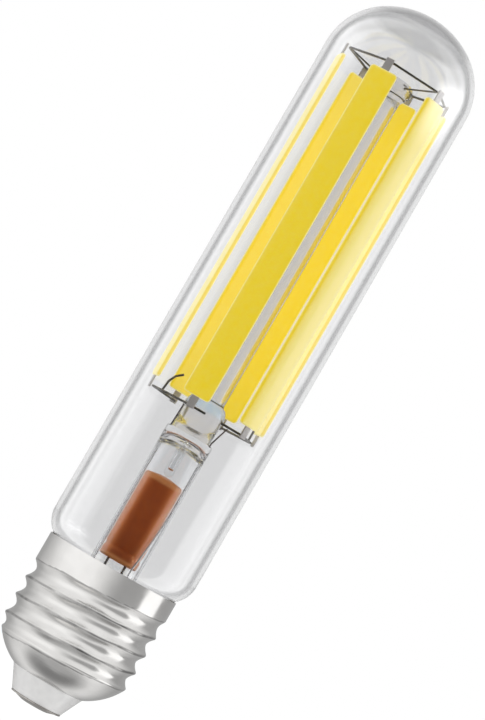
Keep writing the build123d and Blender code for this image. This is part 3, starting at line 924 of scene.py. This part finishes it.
    def build(self, finishes: Finishes) -> None:
        """Makes the three pieces of the cap.

        Args:
            finishes: The lamp's materials.
        """
        seed = bpy.data.meshes.new("shell_seed")
        shell = self.shell_tree().grow("screw_shell", seed, Finish=finishes["cap_metal"])
        smoothed(shell.data, self.sharp)
        fitted(shell, "cap_metal", "cap_shell")
        cone = turned(self.cone_outline(), self.cone_sides)
        finishes.fit("insulating_cone", cone, "insulator", "cap_insulator")
        plate = turned(self.contact_outline(), self.contact_sides)
        finishes.fit("contact_plate", plate, "contact_metal", "centre_contact")


@dataclass
class GlassWork:
    """The blown envelope, the stem, the centre rod and the cement that seats them. Millimetres."""

    length: float = 145.2
    tube_r: float = 14.836
    wall: float = 1.0
    neck_thin: float = 0.5
    dome_height: float = 13.3
    dome_corner: float = 12.595
    shoulder_r: float = 5.6
    shoulder_z: float = 33.219
    shoulder_steps: int = 16
    tube_steps: int = 10
    neck_r: float = 11.305
    neck_bend_r: float = 1.3
    neck_end: float = 17.0
    stem_r: float = 4.7
    stem_wall: float = 0.45
    stem_top: float = STEM_TOP
    flare_r: float = 2.4
    flare_edge: float = 0.15
    press_low: float = 53.8
    press_corner: float = 1.2
    exhaust_r: float = 0.95
    exhaust_bore_r: float = 0.45
    exhaust_root_r: float = 0.9
    exhaust_tip: float = 47.6
    rod_r: float = 2.75
    foot_r: float = 4.1
    foot_inset: float = 0.23
    foot_z: float = 61.1
    foot_crown: float = 2.6
    bead_r: float = 4.0
    bead_corner: float = 1.4
    bead_top: float = 132.2
    cement_low: float = 18.25
    cement_r: float = 11.74
    collar_low: float = 25.74
    collar_r: float = 12.79
    seam: float = 0.02
    sides: int = 160
    rod_sides: int = 96
    bore_sides: int = 48

    # The press: drop below its top, and half its thickness there.
    PRESS: ClassVar[Pairs] = ((0.2, 2.55), (0.6, 2.6), (1.0, 2.7), (1.5, 3.0), (2.0, 3.6), (2.5, 4.4),
                              (2.9, 5.6), (3.2, 8.0))
    # The rod's foot on the press: how far it widens, its rise, and half its thickness there.
    FOOT: ClassVar[tuple[tuple[float, float, float], ...]] = (
        (-0.5, 0.0, 2.2), (-0.05, 0.0, 2.45), (0.0, 0.2, 2.55), (0.03, 0.9, 2.8), (0.07, 1.7, 3.4),
        (0.12, 2.4, 5.0))

    def neck_bend(self) -> tuple[float, float, float]:
        """Works out the bend between shoulder and neck.

        Returns:
            Radius and height of the bend's centre, and its turn in degrees.
        """
        bends = self.shoulder_r + self.neck_bend_r
        turn = math.acos(1 - (self.tube_r - self.neck_r) / bends)
        radius = self.tube_r - self.shoulder_r + bends * math.cos(turn)
        return radius, self.shoulder_z - bends * math.sin(turn), math.degrees(turn)

    def envelope_side(self, inset: float) -> Profile:
        """Outline of the envelope's wall from the crown to the neck's end.

        Args:
            inset: How far in from the outer face the outline runs.

        Returns:
            The outline's points.
        """
        crown = (self.tube_r**2 + self.dome_height**2 - 2 * self.tube_r * self.dome_corner) / (
            2 * (self.dome_height - self.dome_corner))
        turn = math.degrees(math.atan2(crown - self.dome_height, self.tube_r - self.dome_corner))
        dome_z = self.length - self.dome_height
        *bend, lean = self.neck_bend()
        thin = inset * self.neck_thin
        shoulder = []
        for share in (step / self.shoulder_steps for step in range(self.shoulder_steps + 1)):
            radius = self.shoulder_r - inset + (inset - thin) * share
            shoulder += arc((self.tube_r - self.shoulder_r, self.shoulder_z), radius, -lean * share, 0, 1)[:1]
        straight = [(self.tube_r - inset, dome_z + (self.shoulder_z - dome_z) * step / self.tube_steps)
                    for step in range(1, self.tube_steps)]
        return [
            (0, self.length - inset),
            *arc((0, self.length - crown), crown - inset, 90, turn, 18)[1:],
            *arc((self.tube_r - self.dome_corner, dome_z), self.dome_corner - inset, turn, 0, 26)[1:],
            *straight,
            *shoulder,
            *arc(bend, self.neck_bend_r + thin, 180 - lean, 180, 8)[1:],
            (self.neck_r - thin, (bend[1] + self.neck_end) / 2),
            (self.neck_r - thin, self.neck_end),
        ]

    def stem_outline(self) -> Profile:
        """Outline of the stem from the press's top, down outside and up inside to the exhaust tube's tip.

        Returns:
            The outline's points, with half the thickness where it is pinched.
        """
        bore, rim, edge = self.stem_r - self.stem_wall, self.neck_r, self.flare_edge
        flare_top, flare_low = self.neck_end, self.neck_end - self.stem_wall
        corner, root = self.press_corner, self.exhaust_root_r
        return [
            (0, self.stem_top), (3.0, self.stem_top, 2.2), (self.stem_r - 0.25, self.stem_top, 2.5),
            *[(self.stem_r, self.stem_top - drop, half) for drop, half in self.PRESS],
            (self.stem_r, 45.0), (self.stem_r, 32.0),
            *arc((self.stem_r + self.flare_r, flare_top + self.flare_r), self.flare_r, 180, 270, 8),
            (rim - edge, flare_top), (rim, flare_top - edge),
            (rim, flare_low + edge), (rim - edge, flare_low),
            (bore + 2.6, flare_low), (bore + 0.8, flare_top - 0.2), (bore, flare_top + 1.4),
            (bore, 34.0), (bore, 46.0), (bore, self.press_low - 1.4),
            *arc((bore - corner, self.press_low - corner), corner, 0, 90, 6),
            *arc((self.exhaust_r + root, self.press_low - root), root, 90, 180, 6),
            (self.exhaust_r, self.exhaust_tip + 2.2),
            *arc((0, self.exhaust_tip + self.exhaust_r), self.exhaust_r, 0, -78, 8),
            (0, self.exhaust_tip),
        ]

    def exhaust_bore(self) -> bpy.types.Mesh:
        """Hollow of the exhaust tube, with its faces turned into the hollow.

        Returns:
            The hollow's mesh.
        """
        radius, low, high = self.exhaust_bore_r, self.exhaust_tip + 1.2, self.stem_top - 1.8
        outline = [(0, low), *arc((0, low + radius), radius, -70, 0, 6), (radius, high - radius),
                   *arc((0, high - radius), radius, 0, 70, 6), (0, high)]
        hollow = turned(outline, self.bore_sides)
        hollow.flip_normals()
        return hollow

    def stem_mesh(self) -> bpy.types.Mesh:
        """Joins the stem and the hollow of its exhaust tube.

        Returns:
            The stem's mesh.
        """
        stem = turned(self.stem_outline(), self.sides)
        work = bmesh.new()
        for mesh in (stem, self.exhaust_bore()):
            work.from_mesh(mesh)
        work.to_mesh(stem)
        work.free()
        return stem

    def rod_outline(self) -> Profile:
        """Outline of the centre rod: the crowned foot, the shank and the bead.

        Returns:
            The outline's points, with half the thickness where it is pinched.
        """
        rod, bead, top = self.rod_r, self.bead_r, self.bead_top
        low, foot = self.stem_top + self.seam, self.foot_r - self.foot_inset
        return [
            (0, low), *[(foot + wider, low + rise, half) for wider, rise, half in self.FOOT],
            (self.foot_r - 0.08, self.foot_z - 1.6),
            *arc((rod, self.foot_z), (self.foot_r - rod, self.foot_crown), 0, 84, 14),
            (rod, self.foot_z + self.foot_crown + 0.4), (rod, 80.0), (rod, 105.0),
            (rod, top - 6.4), (rod + 0.03, top - 4.2), (rod + 0.25, top - 3.5),
            (bead - 0.45, top - 2.8), (bead - 0.1, top - 2.2), (bead, top - 1.7),
            *arc((bead - self.bead_corner, top - self.bead_corner), self.bead_corner, 10, 86, 10),
            (1.3, top), (0, top),
        ]

    def cement_outline(self) -> Profile:
        """Outline of the cement between the glass and the shell, up under the shoulder.

        Returns:
            The outline's points.
        """
        *bend, turn = self.neck_bend()
        under = arc(bend, self.neck_bend_r - self.seam, 180 - turn, 180, 8)
        return [(self.neck_r + self.seam, self.cement_low), (self.cement_r, self.cement_low),
                (self.cement_r, self.collar_low), (self.collar_r, self.collar_low),
                (self.collar_r, under[0][1]), *under]

    def build(self, finishes: Finishes) -> None:
        """Makes the three glass pieces and the cement that seats them in the cap.

        Args:
            finishes: The lamp's materials.
        """
        walls = [*self.envelope_side(0.0), *reversed(self.envelope_side(self.wall))]
        finishes.fit("bulb_glass", turned(walls, self.sides), "envelope_glass", "glass_envelope")
        finishes.fit("stem", self.stem_mesh(), "stem_glass", "stem_glass")
        finishes.fit("glass_rod", turned(self.rod_outline(), self.rod_sides), "rod_glass", "centre_rod")
        finishes.fit("cement_ring", turned(self.cement_outline(), self.sides), "cement", "basing_cement")


@dataclass
class WireBench:
    """Draws round wire with rounded bends and seats it on the lamp. Millimetres."""

    finishes: Finishes
    radius: float
    bend: float = 0.8
    bend_steps: int = 6
    sides: int = 12

    def __post_init__(self) -> None:
        """Makes the geometry nodes that draw a wire along edges."""
        self.tree = GrowTree("bent_wire", Radius=self.radius, Bend=self.bend, Sides=self.sides, Finish="")
        node, size = self.tree.node, self.tree.given
        line = node("GeometryNodeMeshToCurve", {"Mesh": size("Geometry")})
        bent = node("GeometryNodeFilletCurve",
                    {"Curve": line.outputs[0], "Count": self.bend_steps, "Radius": size("Bend") * MM,
                     "Limit Radius": True}, mode="POLY")
        hoop = node("GeometryNodeCurvePrimitiveCircle",
                    {"Resolution": size("Sides"), "Radius": size("Radius") * MM})
        tube = node("GeometryNodeCurveToMesh",
                    {"Curve": bent.outputs[0], "Profile Curve": hoop.outputs[0], "Fill Caps": True})
        self.tree.close(tube.outputs[0])

    def draw(self, name: str, slot: str, node: str, *runs: Sequence[Vector], closed: bool = False,
             **sizes: float) -> None:
        """Draws one piece of wire.

        Args:
            name: Name of the piece.
            slot: Material slot of the record that it takes its finish from.
            node: The CAD node that it stands for.
            runs: The corners of each of its runs.
            closed: Whether each run goes back to its start.
            sizes: Radius and Bend where they aren't the bench's own.
        """
        piece = self.tree.grow(name, paths(*runs, closed=closed), Finish=self.finishes[slot], **sizes)
        fitted(piece, slot, node)


@dataclass
class FilamentCage:
    """The six strips with their tabs and the wires that carry them. Millimetres and degrees."""

    azimuths: tuple[float, ...] = (-13.5, 46.5, 104.0, 160.0, 213.0, 282.0)
    left: tuple[int, ...] = (0, 5, 4)
    right: tuple[int, ...] = (1, 2, 3)
    anchored: tuple[int, ...] = (1, 3, 5)
    cage_r: float = 11.2
    low: float = 62.75
    high: float = 130.8
    width: float = 5.3
    thickness: float = 0.9
    corner: float = 0.7
    edge: float = 0.28
    crown: float = 0.1
    tab_width: float = 1.5
    tab_thickness: float = 0.3
    tab_reach: float = 2.3
    tab_root: float = 0.9
    tab_corner: float = 0.2
    tab_edge: float = 0.06
    sharp: float = 50.0
    wire_r: float = 0.225
    weld_gap: float = 0.05
    corner_r: float = 10.749
    ring_z: float = 132.65
    ring_bend: float = 1.5
    anchor_r: float = 0.16
    anchor_root: float = 2.4
    anchor_z: float = 131.0
    bus_z: float = 60.9
    left_free: float = 3.0
    right_free: float = 4.3
    hook_place: float = 0.38
    hook_height: float = 4.7
    hook_lean: float = 2.2
    spur_place: float = 0.7
    spur_height: float = 4.0
    lead_r: float = 0.15
    lead_bend: float = 1.2
    lead_place: float = 4.05
    lead_foot: float = 7.3
    lead_top: float = STEM_TOP + 0.5
    left_lead_end: float = 1.75
    right_lead_end: float = 2.8
    can_low: float = CAN_LOW
    can_top: float = CAN_TOP
    swing: float = 45.0
    swing_steps: int = 12

    # The hook's line: shares of its height and of its lean.
    HOOK: ClassVar[Pairs] = ((0.0, 0.0), (0.5, 0.12), (0.8, 0.45), (1.0, 1.0))
    # Corners of a plate's outline, counter-clockwise from its upper right.
    QUARTERS: ClassVar[Pairs] = ((1, 1), (-1, 1), (-1, -1), (1, -1))

    @staticmethod
    def at(azimuth: float, radius: float, height: float) -> Vector:
        """Point at an azimuth from the front, a distance from the axis and a height."""
        turn = math.radians(azimuth)
        return Vector((radius * math.sin(turn), -radius * math.cos(turn), height))

    def plate(self, size: tuple[float, float, float], corner: float, edge: float,
              crown: float = 0.0) -> bpy.types.Mesh:
        """Thin plate with rounded corners and edges, its front towards -Y.

        Args:
            size: Width, length and thickness.
            corner: Radius of its corners.
            edge: Radius of its edges.
            crown: How far its front stands out in the middle.

        Returns:
            The mesh, with an attribute that is one on its rear.
        """
        width, length, thick = size
        half = thick / 2
        # Loops from front to rear: inset from the plate's outline, and depth.
        loops = [(edge + 0.9, -half), (edge + 0.35, -half + crown * 0.35), (edge, -half + crown),
                 (edge * 0.3, -half + crown + edge * 0.3), (0, -half + crown + edge), (0, half - edge),
                 (edge * 0.3, half - edge * 0.3), (edge, half), (edge + 0.4, half)]
        deepest, tightest = min(width, length) / 2 - 0.05, 0.03
        corners: list[tuple[float, float, float]] = []
        for inset, depth in loops:
            inset = min(inset, deepest)
            radius = max(corner - inset, tightest)
            x, z = width / 2 - inset - radius, length / 2 - inset - radius
            for quarter, (right, above) in enumerate(self.QUARTERS):
                for across, up in arc((right * x, above * z), radius, 90 * quarter, 90 * quarter + 90, 8):
                    corners.append((across * MM, depth * MM, up * MM))
        count = len(corners) // len(loops)
        faces: list[tuple[int, ...]] = [tuple(range(count)), tuple(range(len(corners) - count, len(corners)))]
        for loop in range(len(loops) - 1):
            for step in range(count):
                first, after = loop * count + step, loop * count + (step + 1) % count
                faces.append((first, after, after + count, first + count))
        mesh = bpy.data.meshes.new("plate")
        mesh.from_pydata(corners, [], faces)
        behind = half - edge - 0.01
        rear = [float(depth > behind) for _, depth in loops for _ in range(count)]
        mesh.attributes.new("rear", "FLOAT", "POINT").data.foreach_set("value", rear)
        return smoothed(mesh, self.sharp)

    @staticmethod
    def ring_tree() -> GrowTree:
        """Geometry nodes that stand a plate at each point, turned to look out from the axis.

        Returns:
            The tree, with the plate as its input.
        """
        grow = GrowTree("plates_round_axis", Plate=None, Finish="")
        plate = grow.node("GeometryNodeObjectInfo", {"Object": grow.given("Plate")})
        x, y, _ = split(grow.tree, grow.node("GeometryNodeInputPosition").outputs[0])
        turn = grow.node("ShaderNodeCombineXYZ", {"Z": x.math("ARCTAN2", y * -1.0)})
        stood = grow.node("GeometryNodeInstanceOnPoints",
                          {"Points": grow.given("Geometry"), "Instance": plate.outputs["Geometry"],
                           "Rotation": turn.outputs[0]})
        grow.close(stood.outputs[0])
        return grow

    def build_strips(self, finishes: Finishes) -> None:
        """Makes the strips and both rows of tabs, each as one piece.

        Args:
            finishes: The lamp's materials.
        """
        tree = self.ring_tree()
        strip_size = (self.width, self.high - self.low, self.thickness)
        strip = self.plate(strip_size, self.corner, self.edge, self.crown)
        tab_size = (self.tab_width, self.tab_reach + self.tab_root, self.tab_thickness)
        tab = self.plate(tab_size, self.tab_corner, self.tab_edge)
        out = (self.tab_reach - self.tab_root) / 2
        for name, plate, height, slot, ending in (
                ("filament_strips", strip, (self.low + self.high) / 2, "filament_coating", ""),
                ("upper_tabs", tab, self.high + out, "tab_metal", "_upper_tab"),
                ("lower_tabs", tab, self.low - out, "tab_metal", "_lower_tab")):
            template = shown(f"{name}_plate", plate)
            places = [self.at(azimuth, self.cage_r, height) for azimuth in self.azimuths]
            piece = tree.grow(name, paths(places), Plate=template, Finish=finishes[slot])
            bpy.data.objects.remove(template)
            smoothed(piece.data, self.sharp)
            fitted(piece, slot, *[f"filament_{number}{ending}" for number in range(1, len(places) + 1)])

    def corners(self, strips: tuple[int, ...]) -> list[Vector]:
        """Corners of a lower bus, one at each tab that it carries."""
        return [self.at(self.azimuths[strip], self.corner_r, self.bus_z) for strip in strips]

    def towards(self, strips: tuple[int, ...], other: tuple[int, ...], length: float) -> Vector:
        """Point on a bus's front run, a length from its first corner towards the other bus."""
        first = self.corners(strips)[0]
        return first + (self.corners(other)[0] - first).normalized() * length

    def build_ring(self, bench: WireBench) -> None:
        """Makes the upper ring, and the anchors that run to it from the bead.

        Args:
            bench: Where the wire is drawn.
        """
        ring = [self.at(azimuth, self.corner_r, self.ring_z) for azimuth in self.azimuths]
        bench.draw("top_ring", "cage_wire", "upper_ring", ring, closed=True, Bend=self.ring_bend)
        reach = self.corner_r - self.wire_r - self.anchor_r - self.weld_gap
        anchors = [(self.at(azimuth, self.anchor_root, self.anchor_z), self.at(azimuth, reach, self.ring_z))
                   for azimuth in (self.azimuths[strip] for strip in self.anchored)]
        bench.draw("anchors", "cage_wire", "anchor_wires", *anchors, Radius=self.anchor_r)

    def build_buses(self, bench: WireBench) -> None:
        """Makes the two lower buses, the left one with its hook and the right one with its spur.

        Args:
            bench: Where the wire is drawn.
        """
        second, last = self.corners(self.left)[1:]
        root = second + (last - second) * self.hook_place
        lean = Vector((-root.x, -root.y, 0)).normalized() * self.hook_lean
        rise = Vector((0, 0, self.hook_height))
        hook = [root + rise * up + lean * inwards for up, inwards in self.HOOK]
        bus = [self.towards(self.left, self.right, self.left_free), *self.corners(self.left)]
        bench.draw("left_bus", "cage_wire", "lower_bus_left", bus, hook)
        first, second = self.corners(self.right)[:2]
        root = first + (second - first) * self.spur_place
        spur = [root, root + Vector((0, 0, self.spur_height))]
        bus = [self.towards(self.right, self.left, self.right_free), *self.corners(self.right)]
        bench.draw("right_bus", "cage_wire", "lower_bus_right", bus, spur)

    def build_leads(self, bench: WireBench) -> None:
        """Makes the two lead wires, from the board up through the press to the buses.

        Args:
            bench: Where the wire is drawn.
        """
        drop = Vector((0, 0, self.wire_r + self.lead_r + self.weld_gap))
        sizes = {"Radius": self.lead_r, "Bend": self.lead_bend}
        first, second = self.corners(self.left)[:2]
        end = first + (second - first).normalized() * self.left_lead_end - drop
        run = [self.at(-90, self.lead_place, height) for height in (self.lead_foot, self.lead_top)]
        bench.draw("left_lead", "lead_wire", "lead_wire_left", [*run, end], **sizes)
        run = [self.at(self.swing, self.lead_place, self.lead_foot)]
        for share in (step / self.swing_steps for step in range(self.swing_steps + 1)):
            height = self.can_low + share * (self.can_top - self.can_low)
            run.append(self.at(self.swing + share * (90 - self.swing), self.lead_place, height))
        end = self.towards(self.right, self.left, self.right_lead_end) - drop
        run += [self.at(90, self.lead_place, self.lead_top), end]
        bench.draw("right_lead", "lead_wire", "lead_wire_right", run, **sizes)

    def build(self, finishes: Finishes) -> None:
        """Makes the strips, tabs and wires.

        Args:
            finishes: The lamp's materials.
        """
        self.build_strips(finishes)
        bench = WireBench(finishes, self.wire_r)
        self.build_ring(bench)
        self.build_buses(bench)
        self.build_leads(bench)


@dataclass
class Driver:
    """The smoothing capacitor that shows in the stem. The other driver pieces keep their CAD shape."""

    can_r: float = 3.8
    low: float = CAN_LOW
    middle: float = 38.0
    high: float = CAN_TOP
    edge: float = 0.6
    foot_edge: float = 0.35
    foot_sunk: float = 0.15
    top_sunk: float = 0.1
    crimp: float = 0.22
    crimp_z: float = 32.8
    sides: int = 96

    # The crimped waist: rise from its middle, and share of its depth.
    WAIST: ClassVar[Pairs] = ((-0.7, 0.0), (-0.3, 0.6), (0.0, 1.0), (0.3, 0.6), (0.7, 0.0))

    def build(self, finishes: Finishes) -> None:
        """Makes the sleeved can, with its crimped waist and rounded top.

        Args:
            finishes: The lamp's materials.
        """
        r, foot = self.can_r, self.foot_edge
        outline = [(0, self.low + self.foot_sunk), (r - 0.9, self.low + self.foot_sunk), (r - 0.8, self.low),
                   (r - foot, self.low), *arc((r - foot, self.low + foot), foot, -80, 0, 5),
                   *[(r - self.crimp * share, self.crimp_z + rise) for rise, share in self.WAIST],
                   (r, self.middle), *arc((r - self.edge, self.high - self.edge), self.edge, 0, 84, 7),
                   (r - 0.75, self.high - self.top_sunk), (0, self.high - self.top_sunk)]
        can = turned(outline, self.sides)
        finishes.fit("sleeved_can", can, "capacitor_sleeve", "smoothing_capacitor")


@dataclass
class Studio:
    """White studio: pale floor, soft light and the camera at the photograph's angle. Metres and degrees."""

    floor_z: float = -0.012
    floor_r: float = 0.42
    floor_sides: int = 96
    floor_colour: Colour = (0.96, 0.96, 0.96)
    floor_rough: float = 0.9
    floor_lift: float = 0.16
    floor_fade: tuple[float, float] = (0.3, 0.9)
    dim: float = 0.9
    key_size: float = 0.9
    key_energy: float = 1.6
    key_place: tuple[float, float, float] = (-0.7, -0.8, 1.1)
    aim: tuple[float, float, float] = (0.00134, 0.0, 0.07325)
    distance: float = 0.52
    camera_z: float = 0.04
    lean: float = 30.09
    sensor: float = 36.0
    view_height: float = 0.13163
    clip: tuple[float, float] = (0.01, 100.0)

    def build(self) -> None:
        """Makes the floor, the lights and the camera."""
        self.build_floor()
        self.build_world()
        self.build_lamp()
        self.build_camera()

    def build_floor(self) -> None:
        """Makes the pale round floor, which fades into the backdrop at its rim and is clear from below."""
        turns = [math.tau * side / self.floor_sides for side in range(self.floor_sides)]
        rim = [(self.floor_r * math.cos(turn), self.floor_r * math.sin(turn), self.floor_z) for turn in turns]
        mesh = bpy.data.meshes.new("studio_floor")
        mesh.from_pydata(rim, [], [range(len(rim))])
        floor = shown("studio_floor", mesh)
        floor.visible_glossy = False
        floor.visible_transmission = False
        paint = Paint("pale_floor", Base_Color=self.floor_colour, Roughness=self.floor_rough,
                      Specular_IOR_Level=0.0, Emission_Color=WHITE)
        tree = paint.tree
        path = add_node(tree, "ShaderNodeLightPath").outputs
        seen = Value(tree, path["Is Camera Ray"]).math("MAXIMUM", path["Is Transmission Ray"])
        paint.put("Emission Strength", seen * self.floor_lift)
        x, y, _ = split(tree, add_node(tree, "ShaderNodeTexCoord").outputs["Object"])
        away = (x * x + y * y).math("SQRT") / self.floor_r
        backdrop = add_node(tree, "ShaderNodeEmission")
        fade = add_node(tree, "ShaderNodeMixShader", {0: away.ramp(*self.floor_fade),
                                                      1: paint.shader.outputs[0], 2: backdrop.outputs[0]})
        below = add_node(tree, "ShaderNodeNewGeometry").outputs["Backfacing"]
        clear = add_node(tree, "ShaderNodeBsdfTransparent")
        sided = add_node(tree, "ShaderNodeMixShader", {0: below, 1: fade.outputs[0], 2: clear.outputs[0]})
        feed(tree, paint.output.inputs["Surface"], sided.outputs[0])
        mesh.materials.append(paint.material)

    @staticmethod
    def metal_room(turn: Value, z: Value) -> Value:
        """Level of the room that bare metal shows: light wall on the left, bright strip on the right.

        Args:
            turn: Where the ray goes, in degrees from the front, to the right.
            z: How far up it goes, from -1 to 1.

        Returns:
            The room's level there.
        """
        left_wall = turn.ramp(-160.0, -62.0) * turn.ramp(-28.0, 30.0, 1.0, 0.0) * 0.74
        strip = turn.band(70.0, 108.0, 3.0) * 0.95
        walls = left_wall + strip + 0.42
        steep = z.math("ABSOLUTE").ramp(0.35, 0.8)
        ends = z.ramp(-0.2, 0.2, 0.92, 1.0)
        under = z.ramp(-0.97, -0.76, 1.0, 0.0) * turn.math("ABSOLUTE").ramp(45.0, 115.0, 0.45, 0.72)
        return (walls + (ends - walls) * steep) * (under * -1.0 + 1.0)

    @staticmethod
    def glass_room(turn: Value, z: Value) -> Value:
        """Level of the room that glass mirrors: dark in front, soft light at the sides, a glare above them.

        Args:
            turn: Where the ray goes, in degrees from the front, to the right.
            z: How far up it goes, from -1 to 1.

        Returns:
            The room's level there.
        """
        aside = turn.math("ABSOLUTE")
        sides = turn.band(-126.0, -74.0, 4.0) + turn.band(70.0, 124.0, 4.0)
        sides = sides * aside.ramp(85.0, 118.0, 1.15, 1.75)
        behind = aside.ramp(130.0, 150.0) * 0.9
        glare = turn.band(-116.0, -62.0, 8.0) * 0.6 + turn.band(62.0, 116.0, 8.0) * 3.2
        glare = glare * z.ramp(0.155, 0.188) * z.ramp(0.3, 0.58, 1.0, 0.0)
        return (sides + behind + glare + 0.04) * z.ramp(0.3, 0.7, 1.0, 0.6)

    def build_world(self) -> None:
        """Makes the white backdrop, and the rooms that show in whatever shines."""
        world = bpy.data.worlds.new("white_studio")
        bpy.context.scene.world = world
        world.use_nodes = True
        tree = world.node_tree
        x, y, z = split(tree, add_node(tree, "ShaderNodeTexCoord").outputs["Generated"])
        turn = x.math("ARCTAN2", y * -1.0) * math.degrees(1.0)
        path = add_node(tree, "ShaderNodeLightPath")
        ray = {name: Value(tree, socket) for name, socket in path.outputs.items()}
        straight = ray["Diffuse Depth"].math("LESS_THAN", 0.5)
        seen = ray["Is Camera Ray"].math("MAXIMUM", ray["Is Transmission Ray"]) * straight
        mirrored = ray["Glossy Depth"].math("GREATER_THAN", 0.5) * straight
        bare = ray["Is Glossy Ray"] * ray["Transmission Depth"].math("LESS_THAN", 0.5)
        bare = bare * ray["Is Singular Ray"].math("LESS_THAN", 0.5)
        glass, metal = self.glass_room(turn, z), self.metal_room(turn, z)
        room = glass + (metal - glass) * bare
        plain = seen * (1.0 - self.dim) + self.dim
        back = tree.nodes["Background"]
        feed(tree, back.inputs["Color"], WHITE)
        feed(tree, back.inputs["Strength"], plain + (room - plain) * mirrored)

    def build_lamp(self) -> None:
        """Makes the soft key light, up on the left and in front."""
        lamp = bpy.data.lights.new("soft_key", "AREA")
        lamp.shape = "RECTANGLE"
        lamp.size = lamp.size_y = self.key_size
        lamp.energy = self.key_energy
        key = bpy.data.objects.new("soft_key", lamp)
        key.location = self.key_place
        key.rotation_euler = (Vector(self.aim) - key.location).to_track_quat("-Z", "Y").to_euler()
        key.visible_glossy = False
        bpy.context.scene.collection.objects.link(key)

    def build_camera(self) -> None:
        """Makes the camera, rolled so that the lamp leans as it does in the photograph."""
        lens = bpy.data.cameras.new("camera")
        eye = Vector((self.aim[0], -self.distance, self.camera_z))
        ahead = Vector(self.aim) - eye
        lens.sensor_width = self.sensor
        lens.lens = self.sensor * ahead.length / self.view_height
        lens.clip_start, lens.clip_end = self.clip
        camera = bpy.data.objects.new("camera", lens)
        forward = ahead.normalized()
        side = forward.cross(Vector((0, 0, 1))).normalized()
        upright = side.cross(forward)
        roll = math.radians(self.lean)
        right = side * math.cos(roll) + upright * math.sin(roll)
        above = upright * math.cos(roll) - side * math.sin(roll)
        camera.matrix_world = Matrix.Translation(eye) @ Matrix((right, above, -forward)).transposed().to_4x4()
        bpy.context.scene.collection.objects.link(camera)
        bpy.context.scene.camera = camera
        bpy.context.scene.view_settings.view_transform = "Standard"


def main() -> None:
    """Builds the lamp's sub-assemblies in order, then the studio."""
    logging.basicConfig(level=logging.INFO, format="%(name)s: %(message)s")
    finishes = Finishes()
    finishes.dress_nodes()
    for assembly in (ScrewCap(), GlassWork(), FilamentCage(), Driver()):
        assembly.build(finishes)
    Studio().build()


if __name__ == "__main__":
    main()
